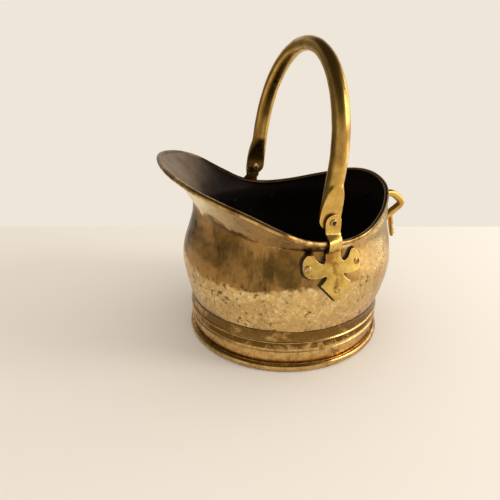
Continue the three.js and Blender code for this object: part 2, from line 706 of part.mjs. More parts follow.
// ---------------------------------------------------------------- rim bead
const rimRings = rimRing.map((p, i) => {
  const before = rimRing[(i + RIM_STEPS - 1) % RIM_STEPS];
  const after = rimRing[(i + 1) % RIM_STEPS];
  const along0 = after.clone().sub(before).normalize();
  const out = V(along0.y, -along0.x, 0).normalize();
  const up = out.clone().cross(along0);
  const ring = [];
  for (let k = 0; k < 8; k += 1) {
    const w = (k / 8) * 2 * Math.PI;
    ring.push(p.clone().addScaledVector(out, RIM_WIRE_R * Math.cos(w))
      .addScaledVector(up, RIM_WIRE_R * Math.sin(w)));
  }
  return ring;
});
const rimWire = skin(rimRings, true);

// ---------------------------------------------------------------- the assembly
const rearGeometry = surface(rearHandle);
rearGeometry.computeBoundingBox();
const FRAME_SHIFT = ((LIP_REACH + RIM_WIRE_R) - rearGeometry.boundingBox.max.y) / 2;
const group = new THREE.Group();
group.name = 'coal_scuttle';

const FINISH = {
  bowl: [0x9a7a45, 0.45],
  bead: [0xb08d4f, 0.38],
  foot: [0xa8843f, 0.4],
  bail: [0xa97c36, 0.35],
  lug: [0xb8924a, 0.36],
  pin: [0xc09a55, 0.34],
};
const put = (name, geometry, finish) => {
  const [color, roughness] = FINISH[finish];
  let g = geometry.index ? geometry.clone() : bare(geometry);
  g = outward(bare(g));
  g.translate(0, FRAME_SHIFT, 0);
  const flat = g.toNonIndexed();
  flat.computeVertexNormals();
  const material = new THREE.MeshStandardMaterial({ color, roughness, metalness: 1 });
  const mesh = new THREE.Mesh(flat, material);
  mesh.name = name;
  group.add(mesh);
};
const mirrorX = (geometry) => {
  const g = bare(geometry);
  g.scale(-1, 1, 1);
  return outward(g);
};

put('body_shell', surface(bowl), 'bowl');
put('rim_wire', rimWire, 'bead');
put('bottom_pan', pan, 'bowl');
put('foot_collar', collar, 'foot');
put('foot_skirt', skirt, 'foot');
put('foot_wire', footWire, 'foot');
put('bail_handle', bailGeometry, 'bail');

const lugGeometry = surface(lug);
const pinGeometry = aim(pivotPin, V(EYE_X + LUG_T, PIVOT_Y, PIVOT_Z), V(1, 0, 0));
const roveGeometry = aim(roveRing, V(END_IN - GAP, PIVOT_Y, PIVOT_Z), V(-1, 0, 0));
for (const side of ['right', 'left']) {
  const hand = side === 'right' ? (g) => g : mirrorX;
  put(`${side}_lug`, hand(lugGeometry), 'lug');
  put(`${side}_pivot_rivet`, hand(pinGeometry), 'pin');
  put(`${side}_pivot_rove`, hand(roveGeometry), 'pin');
  for (const [name, g] of sidePieces) put(`${side}_lug_rivet_${name}`, hand(g), 'pin');
}
put('rear_handle', rearGeometry, 'bail');
for (const [name, g] of rearPieces) put(name, g, 'pin');

export default group;
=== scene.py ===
# %% [markdown]
# # A hammered brass coal scuttle
# A bowl raised from sheet brass stands on a turned foot. Its edge is rolled round a wire and
# flares into a pouring lip. A bail swings on two riveted lugs, and a small D loop at the back
# helps to tip the coal out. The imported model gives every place, and this script gives the
# pieces their true roundness, their hammer marks and their old, uneven polish.

# %% Load the frame
import math
import bpy
import bmesh
from mathutils import Vector, Matrix


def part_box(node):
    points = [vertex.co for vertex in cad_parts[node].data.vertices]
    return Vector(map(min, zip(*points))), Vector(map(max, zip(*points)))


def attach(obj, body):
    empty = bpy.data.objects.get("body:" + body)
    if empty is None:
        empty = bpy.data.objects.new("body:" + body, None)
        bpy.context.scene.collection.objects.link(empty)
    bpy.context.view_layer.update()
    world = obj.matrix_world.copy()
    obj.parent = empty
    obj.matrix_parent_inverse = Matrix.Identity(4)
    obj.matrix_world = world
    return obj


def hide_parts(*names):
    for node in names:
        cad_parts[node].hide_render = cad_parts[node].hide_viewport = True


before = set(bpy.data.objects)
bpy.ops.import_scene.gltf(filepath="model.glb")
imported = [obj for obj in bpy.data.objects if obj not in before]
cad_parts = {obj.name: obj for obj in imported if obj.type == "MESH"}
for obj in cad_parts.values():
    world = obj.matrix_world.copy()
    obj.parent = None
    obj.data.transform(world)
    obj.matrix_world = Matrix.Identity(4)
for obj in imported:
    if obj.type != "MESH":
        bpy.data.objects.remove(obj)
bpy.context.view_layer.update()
MM = 0.001
print("CAD nodes:", len(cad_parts))

# %% [markdown]
# ## Driving sizes
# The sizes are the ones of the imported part, in millimetres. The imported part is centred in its
# box, so the axis of the foot lies a little towards the back of the frame, and that distance
# is read from the foot's own box.

# %% Sizes
foot_low, foot_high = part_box("foot_wire")
AXIS_Y = (foot_low[1] + foot_high[1]) / 2 / MM

SHEET = 1.4
JOINT_Z, JOINT_R = 49.7, 111.3
BELLY_R, BELLY_Z, BELLY_LEAN = 121.2, 97.0, 1.4
NECK_R = 106.0
LIP_REACH, LIP_HEIGHT = 138.0, 207.0
CHEEK_REACH = 157.2
SADDLE_REACH, SADDLE_HEIGHT = 108.5, 144.8
REAR_REACH, REAR_HEIGHT = 114.3, 176.3
RIM_WIRE_R = 2.35
GAP = 0.3
PIVOT_Y, PIVOT_Z = 1.5, 168.5
print("axis of the foot at y =", round(AXIS_Y, 2), "mm")


def mix(a, b, t):
    return a + (b - a) * t


def clamp01(t):
    return min(1.0, max(0.0, t))


def ease(t):
    k = clamp01(t)
    return k * k * (3 - 2 * k)


def place(x, y, z):
    """Millimetres about the foot's axis, to metres in the frame."""
    return Vector((x * MM, (y + AXIS_Y) * MM, z * MM))


# %% [markdown]
# ## Camera
# The photograph looks down on the scuttle from its right front, with the lip to the left. The
# lens and the place were found by matching the round foot, the two pivots and the rim.

# %% Camera
CAMERA_AT = (540.4, -252.9, 365.8)
CAMERA_LOOK = Vector((-0.848, 0.328, -0.416))
camera_data = bpy.data.cameras.new("camera")
camera_data.sensor_width = 36
camera_data.lens = 36 * 545 / 500
camera_data.clip_start = 0.01
camera = bpy.data.objects.new("camera", camera_data)
camera.location = place(*CAMERA_AT)
camera.rotation_euler = CAMERA_LOOK.to_track_quat("-Z", "Y").to_euler()
bpy.context.scene.collection.objects.link(camera)
bpy.context.scene.camera = camera
print("camera", [round(c, 3) for c in camera.location], "lens", round(camera_data.lens, 2))


# %% [markdown]
# ## Two ways of shaping
# Nearly every piece here is drawn out of one ring: a ring of points is laid down, extruded,
# and the new ring is set on its place, as a smith draws a bar or raises a bowl course by
# course. Turned pieces are the same with round rings. One helper does this with Blender's own
# circle and extrude operators and closes the ends.

# %% Helpers for meshes
def deselect_all():
    if bpy.context.object and bpy.context.object.mode != "OBJECT":
        bpy.ops.object.mode_set(mode="OBJECT")
    bpy.ops.object.select_all(action="DESELECT")


def only(piece):
    deselect_all()
    piece.select_set(True)
    bpy.context.view_layer.objects.active = piece


def settle(piece):
    """Applies the place of a piece, so that its object sits at the origin."""
    only(piece)
    bpy.ops.object.transform_apply(location=True, rotation=True, scale=True)


def loft(name, rings, loop=False, capped=True):
    """Draws one ring of points out through all the others with extrude."""
    deselect_all()
    bpy.ops.mesh.primitive_circle_add(vertices=len(rings[0]), radius=0.01)
    piece = bpy.context.object
    piece.name = name
    piece.data.name = name
    bpy.ops.object.mode_set(mode="EDIT")
    bpy.ops.mesh.select_all(action="SELECT")
    mesh = bmesh.from_edit_mesh(piece.data)
    for vert, point in zip(sorted(mesh.verts, key=lambda v: v.index), rings[0]):
        vert.co = point
    bmesh.update_edit_mesh(piece.data)
    for ring in rings[1:]:
        bpy.ops.mesh.extrude_edges_move()
        mesh = bmesh.from_edit_mesh(piece.data)
        fresh = [v for v in mesh.verts if v.select]
        fresh.sort(key=lambda v: v.index)
        for vert, point in zip(fresh, ring):
            vert.co = point
        bmesh.update_edit_mesh(piece.data)
    bpy.ops.mesh.select_all(action="DESELECT")
    mesh = bmesh.from_edit_mesh(piece.data)
    mesh.verts.ensure_lookup_table()
    count = len(rings[0])
    if loop:
        total = len(mesh.verts)
        for i in range(count):
            j = (i + 1) % count
            quad = [mesh.verts[k] for k in (total - count + i, total - count + j, j, i)]
            mesh.faces.new(quad)
    elif capped:
        total = len(mesh.verts)
        mesh.faces.new([mesh.verts[i] for i in range(count)])
        mesh.faces.new([mesh.verts[total - count + i] for i in range(count)])
    bmesh.ops.recalc_face_normals(mesh, faces=mesh.faces)
    bmesh.update_edit_mesh(piece.data)
    bpy.ops.object.mode_set(mode="OBJECT")
    return piece


def apply(piece, kind, name="step", **settings):
    only(piece)
    modifier = piece.modifiers.new(name, kind)
    for key, value in settings.items():
        setattr(modifier, key, value)
    bpy.ops.object.modifier_apply(modifier=modifier.name)


def smooth(piece, angle=35):
    only(piece)
    bpy.ops.object.shade_smooth_by_angle(angle=math.radians(angle))


def turned(name, profile, count=160):
    """A piece turned on the lathe: a closed profile of (radius, height) carried round."""
    columns = []
    for i in range(count):
        way = i / count * 2 * math.pi
        columns.append([place(r * math.cos(way), r * math.sin(way), z) for r, z in profile])
    return loft(name, columns, loop=True)


def report(piece):
    piece.data.update()
    print(f"{piece.name}: {len(piece.data.polygons)} faces")


# %% [markdown]
# ## The rim line
# The edge of the bowl rises from two low saddles beside the lugs to a high back and a wide
# lip. A few listed places and a smooth curve through them give the whole line, the same line
# as in the imported part, and everything near the edge is worked out from it.

# %% Rim line
def flare(f):
    return mix(SADDLE_REACH, CHEEK_REACH, f)


def lift(f):
    return mix(SADDLE_HEIGHT, LIP_HEIGHT, f)


def back(f):
    return mix(SADDLE_REACH, REAR_REACH, f)


def rear(f):
    return mix(SADDLE_HEIGHT, REAR_HEIGHT, f)


RIM_HALF = [
    (-90, LIP_REACH, LIP_HEIGHT),
    (-59, flare(0.782), lift(0.944)),
    (-36, flare(0.947), lift(0.738)),
    (-23.2, flare(1), lift(0.51)),
    (-15, flare(0.556), lift(0.268)),
    (-7, flare(0.19), lift(0.105)),
    (1, flare(0.035), lift(0.035)),
    (12, back(0), rear(0)),
    (27, back(0.05), rear(0.083)),
    (49, back(0.4), rear(0.429)),
    (70, back(1.04), rear(0.841)),
    (90, REAR_REACH, REAR_HEIGHT),
]


def rim_place(bearing, reach, height):
    way = math.radians(bearing)
    return Vector((reach * math.cos(way), reach * math.sin(way), height))


def smooth_loop(points, per_span):
    """Closed curve through points, with speed set by the root of their distance."""
    fine = []
    count = len(points)
    for i in range(count):
        p0, p1, p2, p3 = (points[(i + k - 1) % count] for k in range(4))
        d0 = (p1 - p0).length ** 0.5
        d1 = (p2 - p1).length ** 0.5
        d2 = (p3 - p2).length ** 0.5
        t1 = ((p1 - p0) / d0 - (p2 - p0) / (d0 + d1) + (p2 - p1) / d1) * d1
        t2 = ((p2 - p1) / d1 - (p3 - p1) / (d1 + d2) + (p3 - p2) / d2) * d1
        for k in range(per_span):
            t = k / per_span
            fine.append(
                p1 * (2 * t**3 - 3 * t**2 + 1) + t1 * (t**3 - 2 * t**2 + t)
                + p2 * (-2 * t**3 + 3 * t**2) + t2 * (t**3 - t**2)
            )
    return fine


def evenly(points, count):
    """The same closed line with its points at equal distances."""
    closed = points + [points[0]]
    run = [0.0]
    for a, b in zip(closed, closed[1:]):
        run.append(run[-1] + (b - a).length)
    out = []
    j = 0
    for i in range(count):
        want = run[-1] * i / count
        while run[j + 1] < want:
            j += 1
        t = (want - run[j]) / (run[j + 1] - run[j])
        out.append(closed[j].lerp(closed[j + 1], t))
    return out


rim_knots = [rim_place(*s) for s in RIM_HALF]
rim_knots += [Vector((-p.x, p.y, p.z)) for p in reversed(rim_knots[1:-1])]
rim_line = smooth_loop(rim_knots, 40)
rim_half = [p for p in rim_line[: 40 * (len(RIM_HALF) - 1) + 1]]
print("rim from", round(min(p.z for p in rim_line), 1), "to", round(max(p.z for p in rim_line), 1), "mm")


def bearing_of(p):
    return math.degrees(math.atan2(p.y, abs(p.x)))


RIM_BEARINGS = [bearing_of(p) for p in rim_half]


def rim_at(bearing):
    """Distance from the axis and height of the rim at a bearing."""
    low, high = 0, len(rim_half) - 1
    while high - low > 1:
        middle = (low + high) // 2
        if RIM_BEARINGS[middle] <= bearing:
            low = middle
        else:
            high = middle
    a, b = rim_half[low], rim_half[high]
    span = RIM_BEARINGS[high] - RIM_BEARINGS[low]
    t = clamp01((bearing - RIM_BEARINGS[low]) / span) if span else 0
    return mix(math.hypot(a.x, a.y), math.hypot(b.x, b.y), t), mix(a.z, b.z, t)


# %% [markdown]
# ## The bowl
# The real bowl was raised from one sheet over stakes: a full belly, a neck that turns into a
# sharp crease under the lip, and a flare. The wall is drawn course by course out of a ring,
# and only then dented, so that the dents are real shape and catch the light by themselves.

# %% Wall of the bowl
SIDE_NECK = SADDLE_REACH + 1.1
BACK_FULL = 2.8


def belly_r(b):
    return BELLY_R + BELLY_LEAN * math.sin(math.radians(b))


def neck_r(b):
    front = (SIDE_NECK - NECK_R) * ease((b + 34) / 34)
    return NECK_R + front + (REAR_REACH - SIDE_NECK) * ease((b - 10) / 80)


def neck_z(b):
    front = 19 * clamp01((-b - 32) / 50) ** 1.3
    return SADDLE_HEIGHT - 0.8 + front - 5 * ease((b + 32) / 32) + 7 * ease(b / 90)


def back_fullness(b, z):
    """The wall behind the handle was left fuller below its edge than the plain curve."""
    behind, above, under_rim = (b - 30) / 30, (z - 100) / 30, (rim_at(b)[1] - z) / 12
    return BACK_FULL * ease(behind) * ease(above) * ease(under_rim)


def bowl_r(b, z):
    return plain_bowl_r(b, z) + back_fullness(b, z)


def plain_bowl_r(b, z):
    belly = belly_r(b)
    if z <= BELLY_Z:
        t = clamp01((BELLY_Z - z) / (BELLY_Z - JOINT_Z))
        return belly - (belly - JOINT_R) * t**1.7
    nr, nz = neck_r(b), neck_z(b)
    if z <= nz:
        return mix(belly, nr, ease((z - BELLY_Z) / (nz - BELLY_Z)))
    rr, rz = rim_at(b)
    t = (z - nz) / (rz - nz)
    return mix(nr, rr, 0.7 * t + 0.3 * t * t)


def side_x(y, z):
    """x of the outside of the wall beside the lugs, for a place seen from the side."""
    x = bowl_r(0, z)
    for _ in range(4):
        x = math.sqrt(bowl_r(math.degrees(math.atan2(y, x)), z) ** 2 - y * y)
    return x


def rear_y(x, z):
    """y of the outside of the wall behind the bowl."""
    y = bowl_r(90, z)
    for _ in range(4):
        y = math.sqrt(bowl_r(math.degrees(math.atan2(y, abs(x))), z) ** 2 - x * x)
    return y


COLUMNS = 252
LOW_ROWS, MID_ROWS, TOP_ROWS = 15, 20, 16


def wall_rows():
    """Heights as shares of the three stretches of the wall: below, above the belly, flare."""
    rows = [(0, i / LOW_ROWS) for i in range(LOW_ROWS)]
    rows += [(1, i / MID_ROWS) for i in range(MID_ROWS)]
    rows += [(2, i / TOP_ROWS) for i in range(TOP_ROWS + 1)]
    return rows


bowl_bearings = [(bearing_of(p), math.atan2(p.y, p.x)) for p in evenly(rim_line, COLUMNS)]
bowl_rings = []
for reach in (JOINT_R - 8, JOINT_R - 4):
    bowl_rings.append([
        place(reach * math.cos(way), reach * math.sin(way), JOINT_Z) for _, way in bowl_bearings
    ])
for stretch, share in wall_rows():
    ring = []
    for b, way in bowl_bearings:
        nz = neck_z(b)
        top = rim_at(b)[1] - RIM_WIRE_R * 0.55
        z = (mix(JOINT_Z, BELLY_Z, share), mix(BELLY_Z, nz, share), mix(nz, top, share))[stretch]
        r = bowl_r(b, z)
        ring.append(place(r * math.cos(way), r * math.sin(way), z))
    bowl_rings.append(ring)
bowl = loft("hammered_bowl", bowl_rings, capped=False)
# The wall is still open, so its normals are turned outward by hand before it gets thickness.
only(bowl)
widest = max(bowl.data.polygons, key=lambda f: f.center.x)
if widest.normal.x < 0:
    bpy.ops.object.mode_set(mode="EDIT")
    bpy.ops.mesh.select_all(action="SELECT")
    bpy.ops.mesh.flip_normals()
    bpy.ops.object.mode_set(mode="OBJECT")
report(bowl)


# %% [markdown]
# ### Hammer marks
# Planishing leaves shallow facets a little smaller than the hammer's face, about 10 mm. They
# come from a cell pattern pushed in by a few tenths of a millimetre, and a slower cloud
# pattern makes the wall gently uneven. The wall gets its thickness after that, so that the
# inside shows the same blows.

# %% Dents, then thickness
def dent(piece, name, kind, size_mm, depth_mm, middle=0.5, **settings):
    texture = bpy.data.textures.new(name, kind)
    texture.noise_scale = size_mm * MM
    for key, value in settings.items():
        setattr(texture, key, value)
    apply(piece, "DISPLACE", name=name, texture=texture, strength=depth_mm * MM,
          mid_level=middle, texture_coords="LOCAL")


dent(bowl, "planishing", "VORONOI", 9.5, 0.5, distance_metric="DISTANCE")
dent(bowl, "uneven_wall", "CLOUDS", 34, 0.9, noise_depth=1)
for _ in range(2):
    bowl.data.materials.append(None)
apply(bowl, "SOLIDIFY", thickness=SHEET * MM, offset=-1, use_rim=True, material_offset=1,
      material_offset_rim=0)
smooth(bowl, 50)
report(bowl)

# %% [markdown]
# ## The rolled edge
# The sheet is turned over a wire all round, which makes the edge stiff and safe to hold. A
# closed curve with a round bevel is the quickest way to a bead that follows a bent line.

# %% Rim bead
CURL_WEAR = 0.35  # the sheet over the wire has spread a little beyond the plain round
bead_curve = bpy.data.curves.new("rolled_rim", "CURVE")
bead_curve.dimensions = "3D"
bead_curve.bevel_depth = (RIM_WIRE_R + CURL_WEAR) * MM
bead_curve.bevel_resolution = 4
bead_line = evenly(rim_line, 320)
spline = bead_curve.splines.new("POLY")
spline.points.add(len(bead_line) - 1)
for knot, p in zip(spline.points, bead_line):
    knot.co = (*place(p.x, p.y, p.z), 1)
spline.use_cyclic_u = True
rim_bead = bpy.data.objects.new("rolled_rim", bead_curve)
bpy.context.scene.collection.objects.link(rim_bead)
only(rim_bead)
bpy.ops.object.convert(target="MESH")
rim_bead = bpy.context.object
dent(rim_bead, "rim_wear", "CLOUDS", 14, 0.25, noise_depth=1)
smooth(rim_bead, 60)
report(rim_bead)

# %% [markdown]
# ## The foot
# The foot was spun and turned in three pieces: a hollow collar under the bowl, a skirt with a
# sharp upper edge, and a round bead that carries the weight. Each is a closed profile carried
# once round the axis.

# %% Foot and bottom
FOOT_WIRE_R, FOOT_LAND, FOOT_R = 4.5, 3.0, 110.5
APRON_TOP, COLLAR_FOOT, FOOT_WALL = 24.9, 35.6, 1.6
SKIRT_R = FOOT_R - 1
land_drop = math.sqrt(FOOT_WIRE_R**2 - (FOOT_LAND / 2) ** 2)
skirt_z = land_drop + FOOT_WIRE_R + GAP


def arc(r0, z0, r1, z1, bulge, steps=6):
    """Points of a shallow curve between two places of a profile, its first end left out."""
    out = []
    for i in range(1, steps + 1):
        t = i / steps
        swell = 4 * bulge * t * (1 - t)
        out.append((mix(r0, r1, t) + swell, mix(z0, z1, t)))
    return out


collar_profile = [(JOINT_R + 1.2, COLLAR_FOOT), (JOINT_R + 1.6, COLLAR_FOOT + 0.4)]
collar_profile += [(JOINT_R + 1.5, COLLAR_FOOT + 1.0), (JOINT_R + 0.7, COLLAR_FOOT + 1.7)]
collar_profile += arc(JOINT_R + 0.7, COLLAR_FOOT + 1.7, JOINT_R + 0.6, JOINT_Z - 1, -1.3, 10)
collar_profile += [(JOINT_R + 0.4, JOINT_Z - GAP), (JOINT_R - 7, JOINT_Z - GAP)]
collar_profile += [(JOINT_R - 7, JOINT_Z - GAP - FOOT_WALL), (JOINT_R - 2.6, JOINT_Z - GAP - 2.2)]
collar_profile += [(JOINT_R - 2.2, COLLAR_FOOT)]
collar = turned("foot_collar_spun", collar_profile)

skirt_profile = [(SKIRT_R, skirt_z)] + arc(SKIRT_R, skirt_z, SKIRT_R + 2.7, APRON_TOP - 1.2, 0.5, 10)
skirt_profile += [(SKIRT_R + 3.0, APRON_TOP - 0.4), (SKIRT_R + 2.6, APRON_TOP + 0.1)]
skirt_profile += arc(SKIRT_R + 2.6, APRON_TOP + 0.1, SKIRT_R + 0.9, COLLAR_FOOT - GAP, -1.1, 8)
skirt_profile += [(SKIRT_R - FOOT_WALL, COLLAR_FOOT - GAP), (SKIRT_R - FOOT_WALL, skirt_z)]
skirt = turned("foot_skirt_spun", skirt_profile)

land = math.asin(FOOT_LAND / 2 / FOOT_WIRE_R)
bead_profile = []
for i in range(25):
    a = -math.pi / 2 + land + i / 24 * (2 * math.pi - 2 * land)
    bead_profile.append((FOOT_R + FOOT_WIRE_R * math.cos(a), land_drop + FOOT_WIRE_R * math.sin(a)))
foot_bead = turned("foot_bead", bead_profile)

pan_z = JOINT_Z + SHEET + GAP
PAN_R = JOINT_R - SHEET - 0.9
pan_profile = [(2, pan_z + 1.2)] + [(r, pan_z + 1.2) for r in (30, 60, 85, PAN_R - 9)]
pan_profile += [(PAN_R - 1.5, pan_z + 1.9), (PAN_R - 1.2, pan_z + 5), (PAN_R, pan_z + 5)]
pan_profile += [(PAN_R, pan_z + 1.0), (PAN_R - 1, pan_z), (60, pan_z), (2, pan_z)]
bottom = turned("bottom_pan_spun", pan_profile, 96)
for piece in (collar, skirt, foot_bead):
    dent(piece, f"{piece.name}_wear", "CLOUDS", 22, 0.35, noise_depth=1)
    smooth(piece, 32)
    report(piece)
# The hole left at the axis of the pan is closed with a face above and a face below.
only(bottom)
bpy.ops.object.mode_set(mode="EDIT")
bpy.ops.mesh.select_all(action="DESELECT")
bpy.ops.object.mode_set(mode="OBJECT")
for face in bottom.data.polygons:
    middle = face.center - place(0, 0, face.center.z / MM)
    face.select = math.hypot(middle.x, middle.y) < 2.1 * MM
bpy.ops.object.mode_set(mode="EDIT")
bpy.ops.mesh.delete(type="FACE")
bpy.ops.mesh.select_all(action="DESELECT")
bpy.ops.mesh.select_non_manifold()
bpy.ops.mesh.edge_face_add()
bpy.ops.object.mode_set(mode="OBJECT")
smooth(bottom, 30)
report(bottom)

# %% [markdown]
# ## The bail
# A round rod bent to a tall arch, thinner at the crown, with its two ends forged out flat
# where they are pinned to the lugs. The outside of the flat stays in line with the rod and
# the inside keeps some of its fullness.

# %% Bail
TONGUE_T, TONGUE_HALF = 5.2, 11.8
BAIL_HEIGHT, BAIL_LEAN, BAIL_LEG = 159.0, 8.0, 45.0
BAIL_FOOT_R, BAIL_CROWN_R, BAIL_SWELL = 9.0, 7.7, 0.6
END_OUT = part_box("bail_handle")[1][0] / MM
EYE_X = END_OUT + GAP
END_IN = END_OUT - TONGUE_T
BAIL_HALF = END_OUT - BAIL_FOOT_R
RING = 64
print("flat of the bail at x =", round(END_OUT, 2), "mm")


def bail_ring(centre, out, half_t, half_w, fullness, inner):
    """Section of the rod. The outside is a fuller round filed off flat at half_t, which leaves
    a sharp ridge beside the flat, and the inside is more or less square."""
    ring = []
    for i in range(RING):
        a = i / RING * 2 * math.pi
        c, s = math.cos(a), math.sin(a)
        if c > 0:
            across, along = min(half_t, half_t * fullness * c), half_w * s
        else:
            across = -half_t * abs(c) ** (2 / inner)
            along = half_w * math.copysign(abs(s) ** (2 / inner), s)
        ring.append(Vector((centre.x + out.x * across, along, centre.z + out.z * across)))
    return ring


def leg_ring(h):
    k = ease((h - 8) / 33)
    inn = mix(END_IN, BAIL_HALF - BAIL_FOOT_R, k)
    flat = ease((h - 8) / 30)
    centre = Vector(((END_OUT + inn) / 2, 0, h))
    half_w = mix(TONGUE_HALF, BAIL_FOOT_R, k)
    return bail_ring(centre, Vector((1, 0, 0)), (END_OUT - inn) / 2, half_w,
                     mix(5, 1, flat), mix(3.0, 2, flat))


def arch_ring(a):
    rise = BAIL_HEIGHT - BAIL_LEG
    centre = Vector((BAIL_HALF * math.cos(a), 0, BAIL_LEG + rise * math.sin(a)))
    out = Vector((rise * math.cos(a), 0, BAIL_HALF * math.sin(a))).normalized()
    r = mix(BAIL_FOOT_R, BAIL_CROWN_R, math.sin(a) ** 1.5) + BAIL_SWELL * math.sin(2 * a) ** 2
    return bail_ring(centre, out, r, r, 1, 2)


def tongue_rings():
    """Rings of the flat end, drawn in to a rounded foot."""
    rings = []
    reach = TONGUE_HALF + 0.4
    for i in range(1, 9):
        a = (1 - i / 8) * 80
        low = 4 - reach * math.sin(math.radians(a))
        half = reach * math.cos(math.radians(a))
        ring = bail_ring(Vector(((END_OUT + END_IN) / 2, 0, low)), Vector((1, 0, 0)),
                         TONGUE_T / 2, min(TONGUE_HALF, half), 5, 3.0)
        rings.append(ring)
    return rings


NEAR_SHIFT, FAR_SHIFT = -2.7, 1.6


def end_share(h):
    """The two flats were not forged quite in line with the rod: 1 at the flat, 0 above."""
    return 1 - ease((h - 8) / 33)


leg = tongue_rings() + [leg_ring(h) for h in (8, 10, 12, *range(14, 44, 2))]
arch = [arch_ring(i / 72 * math.pi) for i in range(73)]
far_leg = [[Vector((-p.x, p.y + FAR_SHIFT * end_share(p.z), p.z)) for p in ring] for ring in reversed(leg)]
leg = [[Vector((p.x, p.y + NEAR_SHIFT * end_share(p.z), p.z)) for p in ring] for ring in leg]
lean = Matrix.Rotation(math.radians(-BAIL_LEAN), 3, "X")
bail_rings = []
for ring in leg + arch + far_leg:
    turned_ring = [lean @ p for p in ring]
    bail_rings.append([place(p.x, p.y + PIVOT_Y, p.z + PIVOT_Z) for p in turned_ring])
bail = loft("bail_rod", bail_rings)


def pin_hole(piece, x0, x1, radius=3.3):
    """Drills a hole along x at the pivot with a boolean."""
    deselect_all()
    middle = place((x0 + x1) / 2, PIVOT_Y, PIVOT_Z)
    bpy.ops.mesh.primitive_cylinder_add(vertices=32, radius=radius * MM, depth=abs(x1 - x0) * MM,
                                        location=middle, rotation=(0, math.pi / 2, 0))
    cutter = bpy.context.object
    apply(piece, "BOOLEAN", object=cutter, operation="DIFFERENCE", solver="EXACT")
    bpy.data.objects.remove(cutter)


dent(bail, "forging", "CLOUDS", 16, 0.6, noise_depth=1)
pin_hole(bail, END_IN - 6, END_OUT + 4)
pin_hole(bail, -END_IN + 6, -END_OUT - 4)
smooth(bail, 40)
report(bail)

# %% [markdown]
# ## The lugs
# Each lug is a cast plate with two round lobes and an arrow, bent to the wall, led out round
# the rolled edge and back in to its eye. A grid is bent to that path first and given its
# thickness, and a prism of the outline then cuts it out, so that the edge stands square to
# the plate everywhere.

# %% Path of the lug
LUG_T, EYE_R, STRAP_HALF, SEAT = 2.9, 8.85, 8.2, 0.5
LOBE_SPAN, LOBE_Z, TIP_Z = 32.6, 127.0, 88.4


def rim_width_at(y):
    nearest = min(rim_half, key=lambda p: abs(p.y - y))
    return abs(nearest.x)


WIRE_Z = rim_at(0)[1]
PASS_X = EYE_X + 7.6
PASS_SLOPE = (rim_width_at(PIVOT_Y + 8) - rim_width_at(PIVOT_Y - 8)) / 16


def lug_x(y, z):
    wall = side_x(y, min(z, WIRE_Z - 8)) + SEAT
    over = PASS_X + PASS_SLOPE * (y - PIVOT_Y)
    low = mix(wall, over, ease((z - (WIRE_Z - 10)) / 7))
    return mix(low, EYE_X, ease((z - (WIRE_Z + 2.2)) / 8.5))


def lug_out(y, z):
    slope = lug_x(y + 0.5, z) - lug_x(y - 0.5, z)
    return Vector((1, -slope, 0)).normalized()


def curve_to(points, control, end, steps=8):
    start = points[-1]
    for i in range(1, steps + 1):
        t = i / steps
        a, b, c = (1 - t) ** 2, 2 * t * (1 - t), t * t
        points.append((a * start[0] + b * control[0] + c * end[0],
                       a * start[1] + b * control[1] + c * end[1]))


side = [(0, TIP_Z)]
side += [(17.2 * i / 8, mix(TIP_Z, LOBE_Z - 18.8, i / 8)) for i in range(1, 9)]
curve_to(side, (11, LOBE_Z - 15), (9, LOBE_Z - 10.2))
curve_to(side, (18, LOBE_Z - 13), (26, LOBE_Z - 11.6))
curve_to(side, (LOBE_SPAN + 0.6, LOBE_Z - 10.2), (LOBE_SPAN, LOBE_Z - 2.5))
curve_to(side, (LOBE_SPAN, LOBE_Z + 5), (LOBE_SPAN - 4.1, LOBE_Z + 8.8))
curve_to(side, (24.8, LOBE_Z + 13.6), (20.6, LOBE_Z + 10.4))
curve_to(side, (17, LOBE_Z + 1.4), (11.3, LOBE_Z + 1.5))
curve_to(side, (9, LOBE_Z + 2.4), (8.7, LOBE_Z + 7))
side += [(STRAP_HALF, LOBE_Z + 22.5), (EYE_R, PIVOT_Z)]
for i in range(1, 13):
    a = i / 12 * math.pi / 2
    side.append((EYE_R * math.cos(a), PIVOT_Z + EYE_R * math.sin(a)))
lug_outline = side + [(-x, z) for x, z in reversed(side[1:-1])]
print("lug outline of", len(lug_outline), "points")


# %% Lug plates
def lug_facing(hand, y, z):
    """Direction straight out of the bent plate."""
    slope_y = (lug_x(y + 0.5, z) - lug_x(y - 0.5, z))
    slope_z = (lug_x(y, z + 0.5) - lug_x(y, z - 0.5))
    return Vector((hand, -slope_y, -slope_z)).normalized()


